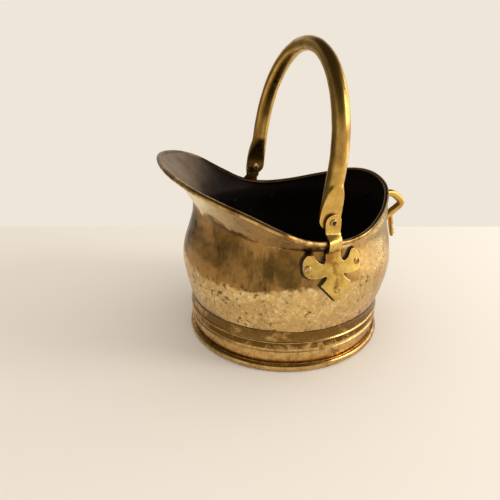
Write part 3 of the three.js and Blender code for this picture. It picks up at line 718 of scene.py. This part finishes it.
def lug_plate(name, hand):
    """hand is 1 for the side in the photograph and -1 for the far side."""
    columns, rows = 72, 96
    low_z, high_z = TIP_Z - 3, PIVOT_Z + EYE_R + 3
    deselect_all()
    bpy.ops.mesh.primitive_grid_add(x_subdivisions=columns, y_subdivisions=rows, size=2)
    plate = bpy.context.object
    plate.name = plate.data.name = name
    for vert in plate.data.vertices:
        y = vert.co.x * (LOBE_SPAN + 5) + PIVOT_Y
        z = mix(low_z, high_z, (vert.co.y + 1) / 2)
        out = lug_out(y, z) * (LUG_T / 2)
        vert.co = place(hand * (lug_x(y, z) + out.x), y + out.y, z)
    apply(plate, "SOLIDIFY", thickness=LUG_T * MM, offset=0, use_rim=True)
    inner_ring = [place(hand * 90, y + PIVOT_Y, z) for y, z in lug_outline]
    outer_ring = [place(hand * 135, y + PIVOT_Y, z) for y, z in lug_outline]
    prism = loft("prism", [inner_ring, outer_ring])
    apply(plate, "BOOLEAN", object=prism, operation="INTERSECT", solver="EXACT")
    bpy.data.objects.remove(prism)
    apply(plate, "REMESH", mode="VOXEL", voxel_size=0.55 * MM)
    apply(plate, "SMOOTH", factor=0.5, iterations=3)
    dent(plate, f"{name}_casting", "CLOUDS", 7, 0.25, noise_depth=1)
    smooth(plate, 60)
    for _ in range(3):
        plate.data.materials.append(None)
    # Flat of the plate, its bevel and its side each take their own finish: the bevel is worn bright and
    # painted lighter as a highlight, and the side is painted dark as shade, with some grime.
    for patch in plate.data.polygons:
        middle = patch.center / MM
        facing = abs(patch.normal.dot(lug_facing(hand, middle.y - AXIS_Y, middle.z)))
        patch.material_index = 0 if facing > 0.93 else 1 if facing > 0.55 else 2
    report(plate)
    return plate


def dirt_and_painted_shadow_line(name, hand):
    """A dark line against the edge of the plate: old polish and soot, and a painted shadow of the plate,
    widest on the side of the lip, away from the lamps.
    """
    right_half = [p for p in side if p[1] < LOBE_Z + 12]
    line = [(-y, z) for y, z in reversed(right_half)] + right_half[1:]
    rings = []
    for i, (y, z) in enumerate(line):
        before, after = line[max(0, i - 1)], line[min(len(line) - 1, i + 1)]
        run = Vector((after[0] - before[0], after[1] - before[1])).normalized()
        reach = max(0.2, 1.2 - 1.1 * run.y)
        ring = []
        for off, height in ((reach, -0.9), (reach, 0.25), (0.1, 0.9), (-0.8, 0.9), (-0.8, -0.9)):
            py, pz = y + PIVOT_Y + run.y * off, z - run.x * off
            out = lug_out(py, pz) * (height - SEAT)
            ring.append(place(hand * (lug_x(py, pz) + out.x), py + out.y, pz))
        rings.append(ring)
    piece = loft(name, rings)
    smooth(piece, 60)
    report(piece)
    return piece


right_lug = lug_plate("cast_lug_right", 1)
left_lug = lug_plate("cast_lug_left", -1)
right_dirt_and_shadow = dirt_and_painted_shadow_line("dirt_and_painted_shadow_under_lug_right", 1)
left_dirt_and_shadow = dirt_and_painted_shadow_line("dirt_and_painted_shadow_under_lug_left", -1)

# %% [markdown]
# ## Rivets
# The heads were hammered down by hand, so they are low and not quite round. One head and
# shank is turned, and copies of it are set square to the wall at each place.

# %% Rivets
RIVET_R = 2.2


def rivet(name, face, way, head_r, head_t, grip):
    """A riveted pin: low outer head, shank, and the head closed over inside."""
    profile = [(0.05, GAP + head_t), (head_r * 0.45, GAP + head_t * 0.96)]
    profile += [(head_r * 0.8, GAP + head_t * 0.72), (head_r * 0.97, GAP + head_t * 0.35)]
    profile += [(head_r, GAP * 0.5), (RIVET_R, GAP * 0.5), (RIVET_R, -grip - GAP)]
    profile += [(RIVET_R * 1.9, -grip - GAP), (RIVET_R * 1.7, -grip - GAP - 0.8)]
    profile += [(RIVET_R, -grip - GAP - 1.2), (0.05, -grip - GAP - 1.3)]
    rings = []
    for r, z in profile:
        rings.append([Vector((r * math.cos(i / 28 * 2 * math.pi) * MM,
                              r * math.sin(i / 28 * 2 * math.pi) * MM, z * MM)) for i in range(28)])
    pin = loft(name, rings)
    for _ in range(2):
        pin.data.materials.append(None)
    for patch in pin.data.polygons:
        patch.material_index = int(patch.center.z < -grip * MM)
    turn = Vector((0, 0, 1)).rotation_difference(way).to_matrix().to_4x4()
    pin.data.transform(Matrix.Translation(face) @ turn)
    dent(pin, f"{name}_blows", "CLOUDS", 3, 0.25)
    smooth(pin, 50)
    return pin


lug_pins = []
for lobe, across, z in (("front_lobe", -27, LOBE_Z - 2.2), ("rear_lobe", 27, LOBE_Z - 2.2),
                        ("arrow", 0, LOBE_Z - 24.7)):
    y = PIVOT_Y + across
    out = lug_out(y, z)
    rise = (side_x(y, z + 1) - side_x(y, z - 1)) / 2
    for hand, hand_name in ((1, "right"), (-1, "left")):
        way = Vector((hand * out.x, out.y, -rise * out.x)).normalized()
        face = place(hand * (lug_x(y, z) + out.x * LUG_T), y + out.y * LUG_T, z)
        grip = LUG_T + (lug_x(y, z) - side_x(y, z)) + SHEET + 0.35
        pin = rivet(f"pin_{hand_name}_{lobe}", face, way, 3.6, 0.8, grip)
        lug_pins.append((pin, f"{hand_name}_lug_rivet_{lobe}"))
print("lug rivets:", len(lug_pins))

# %% Pivots
PIVOT_R, PIVOT_HEAD, ROVE_T = 3.0, 0.8, 1.2


def along_x(name, profile, x, hand, count=36):
    """A small turned piece on the hinge line; heights of the profile run outward from x."""
    rings = []
    for r, h in profile:
        ring = []
        for i in range(count):
            a = i / count * 2 * math.pi
            ring.append(place(hand * (x + h), PIVOT_Y + r * math.cos(a), PIVOT_Z + r * math.sin(a)))
        rings.append(ring)
    closed = profile[0][0] > 1
    piece = loft(name, rings, loop=closed)
    smooth(piece, 45)
    return piece


pivot_grip = LUG_T + GAP + TONGUE_T + GAP + ROVE_T
pivot_pieces = []
for hand, hand_name in ((1, "right"), (-1, "left")):
    head = GAP + PIVOT_HEAD
    profile = [(0.05, head - 0.6), (1.2, head - 0.5), (1.9, head - 0.1), (2.3, head)]
    profile += [(PIVOT_R + 0.6, head - 0.05), (PIVOT_R + 1.0, head - 0.35), (PIVOT_R + 1.1, GAP * 0.5)]
    profile += [(PIVOT_R, GAP * 0.5), (PIVOT_R, -pivot_grip - GAP), (PIVOT_R + 0.9, -pivot_grip - GAP)]
    profile += [(PIVOT_R + 0.7, -pivot_grip - GAP - 0.9), (2.5, -pivot_grip - GAP - 1.15)]
    profile += [(1.9, -pivot_grip - GAP - 0.3), (0.05, -pivot_grip - GAP - 0.2)]
    pin = along_x(f"pivot_pin_{hand_name}", profile, EYE_X + LUG_T, hand)
    for _ in range(2):
        pin.data.materials.append(None)
    # The middle of each pivot head and of its closed end takes the dark finish: dirt and painted shade in
    # the dimple.
    for patch in pin.data.polygons:
        off = patch.center - place(0, PIVOT_Y, PIVOT_Z)
        patch.material_index = int(math.hypot(off.y, off.z) < 2.2 * MM)
    ring = [(PIVOT_R + 0.3, 0), (PIVOT_R + 2.2, 0), (PIVOT_R + 2.1, -0.9), (PIVOT_R + 1.7, -ROVE_T)]
    ring += [(PIVOT_R + 0.3, -ROVE_T)]
    rove = along_x(f"pivot_rove_{hand_name}", ring, END_IN - GAP, hand)
    pivot_pieces += [(pin, f"{hand_name}_pivot_rivet"), (rove, f"{hand_name}_pivot_rove")]
print("pivot pieces:", len(pivot_pieces))

# %% [markdown]
# ## The back handle
# A stout rod bent to a D, with a knuckle at the wall, its two ends spread into pads that are
# riveted on, and a flat tail with small worn knobs. They are modelled apart and fused with a
# fine remesh, which leaves the soft inner corners of a casting.

# %% Back handle
REAR_ROD_R, REAR_ARM_Z, REAR_ELBOW, REAR_ROOT_Z = 4.5, 148.3, 163.0, 105.0
PAD_T, ELBOW_Z = 2.4, 148.3 - 14.5


def bend(points, corner, end, steps=6):
    start = points[-1]
    for i in range(1, steps + 1):
        t = i / steps
        points.append(tuple((1 - t) ** 2 * start[k] + 2 * t * (1 - t) * corner[k] + t * t * end[k]
                            for k in range(2)))


def straight(points, end, steps=6):
    start = points[-1]
    for i in range(1, steps + 1):
        points.append(tuple(mix(start[k], end[k], i / steps) for k in range(2)))


def rod(name, line, section):
    """A bar along a line in the plane x = 0. section(t) gives its half width and half height."""
    rings = []
    for i, (y, z) in enumerate(line):
        before, after = line[max(0, i - 1)], line[min(len(line) - 1, i + 1)]
        way = Vector((after[0] - before[0], after[1] - before[1])).normalized()
        half_w, half_h = section(i / (len(line) - 1))
        ring = []
        for k in range(20):
            a = k / 20 * 2 * math.pi
            ring.append(place(half_w * math.cos(a), y - way.y * half_h * math.sin(a),
                              z + way.x * half_h * math.sin(a)))
        rings.append(ring)
    return loft(name, rings)


root_y = rear_y(0, REAR_ROOT_Z) + SEAT + PAD_T / 2
loop_line = [(rear_y(0, REAR_ARM_Z) + SEAT + PAD_T / 2, REAR_ARM_Z)]
straight(loop_line, (REAR_ELBOW - 21.5, REAR_ARM_Z))
bend(loop_line, (REAR_ELBOW - 16.4, REAR_ARM_Z), (REAR_ELBOW - 12.2, REAR_ARM_Z - 3.6))
straight(loop_line, (REAR_ELBOW - 4.4, ELBOW_Z + 4.4))
bend(loop_line, (REAR_ELBOW, ELBOW_Z - 0.2), (REAR_ELBOW - 5, ELBOW_Z - 4))
straight(loop_line, (root_y + 9.5, REAR_ROOT_Z + 8.5), 9)
bend(loop_line, (root_y + 5, REAR_ROOT_Z + 1.2), (root_y, REAR_ROOT_Z))
back_handle = rod("back_handle_fused", loop_line,
                  lambda t: (REAR_ROD_R + 1.2 * ease(1 - t * 9) + 0.4 * ease(t * 3 - 1.2),) * 2)

tail_top = (REAR_ELBOW - 16.5, ELBOW_Z - 8)
tail_end = (REAR_ELBOW - 10.3, ELBOW_Z - 44.2)
tail_line = [tail_top]
bend(tail_line, (tail_top[0] + 0.6, mix(tail_top[1], tail_end[1], 0.5)), tail_end, 16)
tail = rod("tail", tail_line, lambda t: (mix(4.2, 2.6, t**3), mix(2.5, 2.1, t)))
parts = [tail]
for share, radius in ((0.36, 1.5), (0.5, 1.3), (0.72, 1.6), (0.86, 1.4)):
    y, z = tail_line[round(share * 16)]
    deselect_all()
    bpy.ops.mesh.primitive_uv_sphere_add(segments=16, ring_count=10, radius=radius * MM,
                                         location=place(1.5, y + 2.7, z))
    settle(bpy.context.object)
    parts.append(bpy.context.object)


# A knuckle marks the place where the upper arm leaves the wall.
KNUCKLE_R, KNUCKLE_Y = 5.6, REAR_ELBOW - 29
deselect_all()
bpy.ops.mesh.primitive_uv_sphere_add(segments=24, ring_count=16, radius=KNUCKLE_R * MM,
                                     location=place(0, KNUCKLE_Y, REAR_ARM_Z - 0.3))
settle(bpy.context.object)
parts.append(bpy.context.object)


def pad(name, z_middle, half_w, half_h):
    rings = []
    for depth in (0, PAD_T * 0.75, PAD_T):
        shrink = 0.8 if depth == PAD_T else 0
        ring = []
        for k in range(48):
            a = k / 48 * 2 * math.pi
            x = (half_w - shrink) * math.cos(a)
            z = z_middle + (half_h - shrink) * math.sin(a)
            ring.append(place(x, rear_y(x, z) + SEAT + depth, z))
        rings.append(ring)
    return loft(name, rings)


parts += [pad("pad_upper", REAR_ARM_Z, 17, 6.5), pad("pad_lower", REAR_ROOT_Z, 17, 6.5)]
deselect_all()
for piece in parts:
    piece.select_set(True)
back_handle.select_set(True)
bpy.context.view_layer.objects.active = back_handle
bpy.ops.object.join()
apply(back_handle, "REMESH", mode="VOXEL", voxel_size=0.5 * MM)
apply(back_handle, "SMOOTH", factor=0.5, iterations=1)
dent(back_handle, "back_handle_wear", "CLOUDS", 8, 0.3, noise_depth=1)
smooth(back_handle, 60)
report(back_handle)

back_pins = []
for level, z in (("upper", REAR_ARM_Z), ("lower", REAR_ROOT_Z)):
    for side_name, x in (("left", -10.8), ("right", 10.8)):
        slope_x = rear_y(x + 0.5, z) - rear_y(x - 0.5, z)
        slope_z = (rear_y(x, z + 1) - rear_y(x, z - 1)) / 2
        level_out = Vector((-slope_x, 1, 0)).normalized()
        way = Vector((-slope_x, 1, -slope_z)).normalized()
        face = place(x + level_out.x * PAD_T, rear_y(x, z) + SEAT + level_out.y * PAD_T, z)
        pin = rivet(f"pin_back_{level}_{side_name}", face, way, 3.4, 1.2, PAD_T + SEAT + SHEET + 0.35)
        back_pins.append((pin, f"rear_rivet_{level}_{side_name}"))
print("back rivets:", len(back_pins))


# %% [markdown]
# ## Finishes
# Every finish is brass. What differs is how it was worked, how much of its old brown
# patina has worn away, and where painted shade, painted highlights and painted reflections are put into it.
# Colours are written as hex values, and one helper adds any node.

# %% Helpers for materials
def colour(hexa):
    """sRGB hex to the linear colour that a shader socket wants."""
    out = []
    for i in (1, 3, 5):
        c = int(hexa[i:i + 2], 16) / 255
        out.append(c / 12.92 if c <= 0.04045 else ((c + 0.055) / 1.055) ** 2.4)
    return (*out, 1.0)


KINDS = {
    "ramp": ("MapRange", {"interpolation_type": "SMOOTHSTEP"}, (0, 1, 2), 0),
    "blend": ("Mix", {"data_type": "RGBA"}, (0, 6, 7), 2),
    "noise": ("TexNoise", {}, (0, 2, 3, 4, 8), 0),
    "cells": ("TexVoronoi", {"feature": "SMOOTH_F1"}, (0, 2, 6), 0),
}
for sum_kind in ("ADD", "SUBTRACT", "MULTIPLY", "MAXIMUM"):
    KINDS[sum_kind] = ("Math", {"operation": sum_kind}, (0, 1), 0)


def add(tree, kind, *values, out=None, **named):
    """Adds one node and gives back one of its outputs. A value that is an output is linked,
    anything else is set. Values go to the sockets in order, or in the order of KINDS, where a
    ramp is a smooth step from 0 to 1 (or back, if it is given the high end first)."""
    idname, settings, order, result = KINDS.get(kind, (kind, {}, range(9), 0))
    node = tree.nodes.new("ShaderNode" + idname)
    for key, value in settings.items():
        setattr(node, key, value)
    sockets = [(node.inputs[i], value) for i, value in zip(order, values)]
    sockets += [(node.inputs[key], value) for key, value in named.items()]
    for socket, value in sockets:
        if isinstance(value, bpy.types.NodeSocket):
            tree.links.new(value, socket)
        else:
            socket.default_value = value
    return node.outputs[result if out is None else out]


def every(size_mm):
    """Scale of a noise whose blotches are about size_mm wide."""
    return 500 / size_mm


def start(name):
    material = bpy.data.materials.new(name)
    material.use_nodes = True
    tree = material.node_tree
    shader = tree.nodes["Principled BSDF"]
    where = add(tree, "TexCoord", out="Object")
    return material, tree, shader, where


def finish_metal(tree, shader, base, rough, height, depth_mm):
    shader.inputs["Metallic"].default_value = 1.0
    tree.links.new(base, shader.inputs["Base Color"])
    tree.links.new(rough, shader.inputs["Roughness"])
    bump = add(tree, "Bump", Strength=1.0, Distance=depth_mm * MM, Height=height)
    tree.links.new(bump, shader.inputs["Normal"])


GOLD = colour("#dfba77")
PALE = colour("#f2dcaa")
OLIVE = colour("#6b4c1e")
BROWN = colour("#8a6330")
DARK = colour("#3a2810")
SOOT = colour("#1e140e")


# %% Hammered brass, outside
def hammered_brass():
    """Raised and planished sheet brass. Its patina is worn off where hands and cloths
    reach. The dark band round the upper belly is partly that patina and partly a painted
    dark reflection, and the flare is painted paler as a reflection of the bright floor."""
    material, tree, shader, where = start("hammered_brass_with_patina")
    _, y, z = add(tree, "SeparateXYZ", where).node.outputs
    drift = add(tree, "SUBTRACT", add(tree, "noise", where, every(26), 4, 0.6), 0.5)
    slow = add(tree, "MULTIPLY", drift, 0.03)
    tatter = add(tree, "SUBTRACT", add(tree, "noise", where, every(5), 5, 0.7), 0.5)
    ragged = add(tree, "MULTIPLY", tatter, 0.016)
    wobble = add(tree, "ADD", slow, ragged)
    height = add(tree, "ADD", z, wobble)
    # The dark band round the upper belly: partly old patina, partly a painted reflection of a dim ceiling.
    band_low = add(tree, "ramp", height, 0.100, 0.104)
    neck_rise = add(tree, "MULTIPLY", add(tree, "ramp", y, -0.066, -0.122), 0.019)
    above = add(tree, "SUBTRACT", height, neck_rise)
    band_high = add(tree, "ramp", above, 0.147, 0.143)
    front = add(tree, "ramp", add(tree, "ADD", y, wobble), 0.052, 0.004)
    dark_band_patina_and_reflection = add(tree, "MULTIPLY", add(tree, "MULTIPLY", band_low, band_high), front)
    upright = add(tree, "Mapping", where, Scale=(1, 1, 0.35))
    blotch = add(tree, "ramp", add(tree, "noise", where, every(14), 6, 0.7, 0.6), 0.42, 0.62)
    streak = add(tree, "ramp", add(tree, "noise", upright, every(24), 5, 0.65, 0.3), 0.44, 0.58)
    fine = add(tree, "noise", where, every(2.2), 5, 0.7)
    crowded = add(tree, "ramp", add(tree, "noise", where, every(24), 3, 0.6), 0.36, 0.52)
    pits = add(tree, "ramp", add(tree, "noise", where, every(2.8), 4, 0.65), 0.43, 0.37)
    low_wall = add(tree, "ADD", 0.25, add(tree, "MULTIPLY", add(tree, "ramp", z, 0.110, 0.100), 0.75))
    pits = add(tree, "MULTIPLY", add(tree, "MULTIPLY", pits, crowded), low_wall)
    specks = add(tree, "ramp", fine, 0.5, 0.6)
    # The flare is painted paler: a painted reflection of the bright floor below it.
    over_neck = add(tree, "ramp", above, 0.145, 0.149)
    flare_painted_reflection = add(tree, "MULTIPLY", over_neck, add(tree, "ramp", y, 0.03, -0.02))
    bright = add(tree, "blend", specks, GOLD, PALE)
    bright = add(tree, "blend", add(tree, "MULTIPLY", blotch, 0.35), bright, BROWN)
    dark = add(tree, "blend", blotch, colour("#53370f"), colour("#7d5a26"))
    dark = add(tree, "blend", streak, dark, colour("#a57c42"))
    bright = add(tree, "blend", add(tree, "MULTIPLY", flare_painted_reflection, 0.85), bright, colour("#fbe9bd"))
    dull = add(tree, "MULTIPLY", add(tree, "ramp", height, 0.104, 0.120), add(tree, "ramp", y, 0.02, 0.06))
    bright = add(tree, "blend", add(tree, "MULTIPLY", dull, 0.85), bright, colour("#857852"))
    right_low = add(tree, "MULTIPLY", add(tree, "ramp", y, 0.0, 0.05), 0.35)
    bright = add(tree, "blend", right_low, bright, colour("#9c7636"))
    base = add(tree, "blend", add(tree, "MULTIPLY", dark_band_patina_and_reflection, 0.92), bright, dark)
    base = add(tree, "blend", add(tree, "MULTIPLY", pits, 0.8), base, colour("#4a3414"))
    rough = add(tree, "MapRange", fine, 0.3, 0.7, 0.24, 0.42)
    cells = add(tree, "cells", where, 1000 / 9.0, 0.6)
    bumps = add(tree, "ADD", add(tree, "MULTIPLY", fine, 0.35), add(tree, "MULTIPLY", cells, 0.5))
    bumps = add(tree, "SUBTRACT", bumps, add(tree, "MULTIPLY", pits, 0.25))
    finish_metal(tree, shader, base, rough, bumps, 0.5)
    return material


# %% Sooty brass, inside
def sooty_brass():
    """The same sheet inside: coal has blackened it, and the lip is worn to a greyish brown."""
    material, tree, shader, where = start("sooty_brass_inside")
    _, y, z = add(tree, "SeparateXYZ", where).node.outputs
    patch = add(tree, "noise", where, every(26), 6, 0.65, 0.4)
    shift = add(tree, "MULTIPLY", add(tree, "SUBTRACT", patch, 0.5), 0.09)
    toward_lip = add(tree, "ramp", add(tree, "ADD", y, shift), -0.045, -0.115)
    high = add(tree, "ramp", add(tree, "ADD", z, shift), 0.135, 0.185)
    worn = add(tree, "MULTIPLY", toward_lip, high)
    mottle = add(tree, "ramp", add(tree, "noise", where, every(12), 5, 0.6), 0.45, 0.6)
    grey = add(tree, "blend", mottle, colour("#7d6c58"), colour("#7d5c36"))
    base = add(tree, "blend", worn, SOOT, grey)
    tree.links.new(base, shader.inputs["Base Color"])
    shader.inputs["Metallic"].default_value = 0.6
    rough = add(tree, "MapRange", worn, 0.0, 1.0, 0.75, 0.42)
    tree.links.new(rough, shader.inputs["Roughness"])
    grit = add(tree, "noise", where, every(3), 5, 0.7)
    bump = add(tree, "Bump", Strength=0.6, Distance=0.3 * MM, Height=grit)
    tree.links.new(bump, shader.inputs["Normal"])
    return material


# %% Turned, cast and drawn brass
def worked_brass(name, bright, shade, dark, dark_share, size_mm, grit_mm, low_rough,
                 high_rough, depth_mm):
    """Plain brass with patina left in blotches of size_mm and grit of grit_mm."""
    material, tree, shader, where = start(name)
    patch = add(tree, "noise", where, every(size_mm), 6, 0.65, 0.5)
    fine = add(tree, "noise", where, every(grit_mm), 5, 0.65)
    middle = 0.62 - 0.3 * dark_share
    base = add(tree, "blend", add(tree, "ramp", fine, 0.4, 0.65), bright, shade)
    base = add(tree, "blend", add(tree, "ramp", patch, middle, middle + 0.14), base, dark)
    rough = add(tree, "MapRange", fine, 0.3, 0.7, low_rough, high_rough)
    finish_metal(tree, shader, base, rough, fine, depth_mm)
    return material


# %% Turned foot
def spun_foot():
    """Brass turned on the lathe. Cloth and hearth brush keep the apron bright. The hollow above it
    and the collar under the belly are darkened partly by patina and partly as painted shade in
    those recesses, and the bead near the floor stays brown."""
    material, tree, shader, where = start("spun_brass_foot")
    _, y, z = add(tree, "SeparateXYZ", where).node.outputs
    patch = add(tree, "noise", where, every(18), 6, 0.65, 0.5)
    fine = add(tree, "noise", where, every(3), 5, 0.65)
    # Hollow above the apron and collar under the belly: patina and painted shade in the recesses.
    hollow = add(tree, "MULTIPLY", add(tree, "ramp", z, 0.0262, 0.028), add(tree, "ramp", z, 0.0355, 0.034))
    collar_dark = add(tree, "MULTIPLY", add(tree, "ramp", z, 0.0372, 0.0382), 0.9)
    bead_dark = add(tree, "MULTIPLY", add(tree, "ramp", z, 0.0110, 0.0096), 0.2)
    dark = add(tree, "MAXIMUM", add(tree, "MAXIMUM", hollow, collar_dark), bead_dark)
    dark = add(tree, "MULTIPLY", dark, add(tree, "ramp", patch, 0.66, 0.5))
    base = add(tree, "blend", add(tree, "ramp", fine, 0.4, 0.65), GOLD, colour("#c2965a"))
    base = add(tree, "blend", add(tree, "ramp", patch, 0.58, 0.70), base, BROWN)
    behind = add(tree, "MULTIPLY", add(tree, "ramp", y, 0.02, 0.07), add(tree, "ramp", patch, 0.68, 0.5))
    base = add(tree, "blend", add(tree, "MULTIPLY", behind, 0.8), base, BROWN)
    base = add(tree, "blend", dark, base, OLIVE)
    rough = add(tree, "MapRange", fine, 0.3, 0.7, 0.2, 0.34)
    finish_metal(tree, shader, base, rough, fine, 0.08)
    return material


# %% Rolled edge
def rolled_edge():
    """Brass rolled round the wire. Hands keep the front and the near side bright, and the far
    and back parts are a dull brown."""
    material, tree, shader, where = start("rolled_brass_edge")
    x, y, _ = add(tree, "SeparateXYZ", where).node.outputs
    patch = add(tree, "noise", where, every(20), 5, 0.6, 0.3)
    fine = add(tree, "noise", where, every(4), 5, 0.65)
    shift = add(tree, "MULTIPLY", add(tree, "SUBTRACT", patch, 0.5), 0.08)
    back_share = add(tree, "ramp", add(tree, "ADD", y, shift), 0.0, 0.06)
    far_share = add(tree, "ramp", add(tree, "ADD", x, shift), 0.02, -0.04)
    base = add(tree, "blend", add(tree, "ramp", fine, 0.4, 0.65), GOLD, colour("#b08a4e"))
    base = add(tree, "blend", add(tree, "ramp", patch, 0.5, 0.62), base, BROWN)
    untouched = add(tree, "MULTIPLY", add(tree, "MAXIMUM", back_share, far_share), 0.85)
    base = add(tree, "blend", untouched, base, colour("#5c452c"))
    rough = add(tree, "MapRange", fine, 0.3, 0.7, 0.26, 0.42)
    finish_metal(tree, shader, base, rough, fine, 0.06)
    return material


# %% [markdown]
# ### One finish for each way of working
# Numbers give, in turn, how much of the brass is stained, the size of the stains and of the
# grit in millimetres, the least and greatest roughness, and how deep the grit is.

# %% Make the finishes
hammered = hammered_brass()
sooty = sooty_brass()
rolled = rolled_edge()
spun = spun_foot()
# Forged rod, filed and then polished by hands: long soft highlights and few stains.
forged = worked_brass("forged_brass_rod", colour("#d2ab5c"), colour("#c0984a"),
                      colour("#94713a"), 0.2, 45, 6, 0.24, 0.36, 0.05)
# Sand-cast plate: a yellower alloy with a faint grain and stained patches.
cast = worked_brass("cast_brass_lug", colour("#dcb964"), colour("#c7a04c"),
                    colour("#a07434"), 0.35, 12, 4, 0.28, 0.4, 0.1)
# Its bevel is worn bright and painted lighter still as a highlight, and its side, never reached by a cloth,
# is painted dark as shade as well as grime.
worn_edge_painted_highlight = worked_brass("cast_brass_edge_worn_and_painted_highlight", colour("#f0d69c"), colour("#e2c07a"),
                      GOLD, 0.2, 8, 3, 0.22, 0.32, 0.05)
grime_and_painted_shade = worked_brass("cast_brass_side_painted_shade", OLIVE, colour("#4a3315"),
                     DARK, 0.5, 6, 2, 0.4, 0.6, 0.1)
# Dried polish and soot, made darker as painted shadow round the lugs and painted shade in the middle of the
# pivots, are hardly a metal: dull, dark and grainy.
dirt_and_painted_shade = worked_brass("polish_soot_and_painted_shade", colour("#2a1c0c"), colour("#4a3818"),
                           DARK, 0.5, 6, 2, 0.6, 0.8, 0.1)
dirt_and_painted_shade.node_tree.nodes["Principled BSDF"].inputs["Metallic"].default_value = 0.2
# Rivet heads keep the brown of the hammer scale round small bright tops.
peened = worked_brass("peened_brass_rivet", GOLD, BROWN, OLIVE, 0.5, 5, 1.2, 0.25, 0.4, 0.1)
print("materials:", len(bpy.data.materials))


# %% Give each piece its finish and its body, and hide the imported node it replaces
def dress(piece, materials, body, slot, *nodes):
    while len(piece.data.materials) < len(materials):
        piece.data.materials.append(None)
    for i, material in enumerate(materials):
        piece.data.materials[i] = material
    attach(piece, body)
    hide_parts(*nodes)


dress(bowl, [hammered, sooty], "body", "hammered_sheet", "body_shell")
dress(bottom, [sooty], "body", "hammered_sheet", "bottom_pan")
dress(rim_bead, [rolled], "body", "spun_trim", "rim_wire")
dress(collar, [spun], "body", "spun_trim", "foot_collar")
dress(skirt, [spun], "body", "spun_trim", "foot_skirt")
dress(foot_bead, [spun], "body", "spun_trim", "foot_wire")
dress(bail, [forged], "bail", "handle_rod", "bail_handle")
dress(back_handle, [forged], "body", "handle_rod", "rear_handle")
dress(right_lug, [cast, worn_edge_painted_highlight, grime_and_painted_shade], "body", "cast_lug", "right_lug")
dress(left_lug, [cast, worn_edge_painted_highlight, grime_and_painted_shade], "body", "cast_lug", "left_lug")
dress(right_dirt_and_shadow, [dirt_and_painted_shade], "body", "cast_lug", "right_lug")
dress(left_dirt_and_shadow, [dirt_and_painted_shade], "body", "cast_lug", "left_lug")
for piece, node in lug_pins + back_pins:
    dress(piece, [peened, sooty], "body", "rivet_stock", node)
for piece, node in pivot_pieces:
    dress(piece, [peened, dirt_and_painted_shade], "body", "rivet_stock", node)

# %% [markdown]
# ## Floor, backdrop and light
# A pale table ends where the photograph's wall begins. The world is as pale as that wall to
# the camera and to dull surfaces, and a room to the metal: dim overhead and dark at one end.
# Two large soft lamps stand at the right, and a low pane puts the glint on the belly.

# %% Stage
def plain(name, hexa):
    material = start(name)[0]
    shader = material.node_tree.nodes["Principled BSDF"]
    shader.inputs["Base Color"].default_value = colour(hexa)
    shader.inputs["Roughness"].default_value = 0.9
    shader.inputs["Specular IOR Level"].default_value = 0.1
    return material


WALL_AT = Vector((-300, 72, 0))
WALL_WAY = Vector((-0.933, 0.361, 0))
middle = place(*(WALL_AT - WALL_WAY * 3000))
deselect_all()
bpy.ops.mesh.primitive_plane_add(size=6, location=middle, rotation=(0, 0, math.atan2(0.361, -0.933)))
floor = bpy.context.object
floor.name = "floor"
floor.data.materials.append(plain("pale_floor", "#eeebe6"))

world = bpy.data.worlds.new("studio")
bpy.context.scene.world = world
world.use_nodes = True
sky = world.node_tree
way = add(sky, "TexCoord", out="Generated")
side_on, along, up = add(sky, "SeparateXYZ", way).node.outputs
# The dark end of the room lies to the left of the lip and behind it.
toward = add(sky, "ADD", add(sky, "MULTIPLY", side_on, -0.57), add(sky, "MULTIPLY", along, -0.82))
far_end = add(sky, "MULTIPLY", add(sky, "ramp", toward, 0.5, 0.92), 0.88)
dim = add(sky, "MAXIMUM", add(sky, "ramp", up, 0.28, 0.65), far_end)
room = add(sky, "blend", dim, colour("#f2eadd"), colour("#38332c"))
rays = add(sky, "LightPath").node.outputs
plain_rays = add(sky, "MAXIMUM", rays["Is Camera Ray"], rays["Is Diffuse Ray"])
ground = sky.nodes["Background"]
sky.links.new(add(sky, "blend", plain_rays, room, colour("#f4ebdf")), ground.inputs["Color"])
ground.inputs["Strength"].default_value = 0.95
print("stage set")


# %% Lamps
def lamp(name, at, aim_at, size, watts):
    data = bpy.data.lights.new(name, "AREA")
    data.shape = "RECTANGLE"
    data.size, data.size_y = size
    data.energy = watts
    data.color = colour("#fff9f0")[:3]
    piece = bpy.data.objects.new(name, data)
    piece.location = place(*at)
    piece.rotation_euler = (place(*aim_at) - place(*at)).to_track_quat("-Z", "Y").to_euler()
    bpy.context.scene.collection.objects.link(piece)
    return piece


lamp("key_window", (1150, 1500, 1300), (0, 0, 120), (0.7, 0.8), 14)
lamp("side_panel", (250, 1800, 650), (0, 0, 150), (1.9, 1.1), 11)
lamp("low_pane", (60, 900, 50), (0, 0, 100), (0.16, 0.06), 0.3)

# %% Scene settings
bpy.context.scene.view_settings.view_transform = "Standard"
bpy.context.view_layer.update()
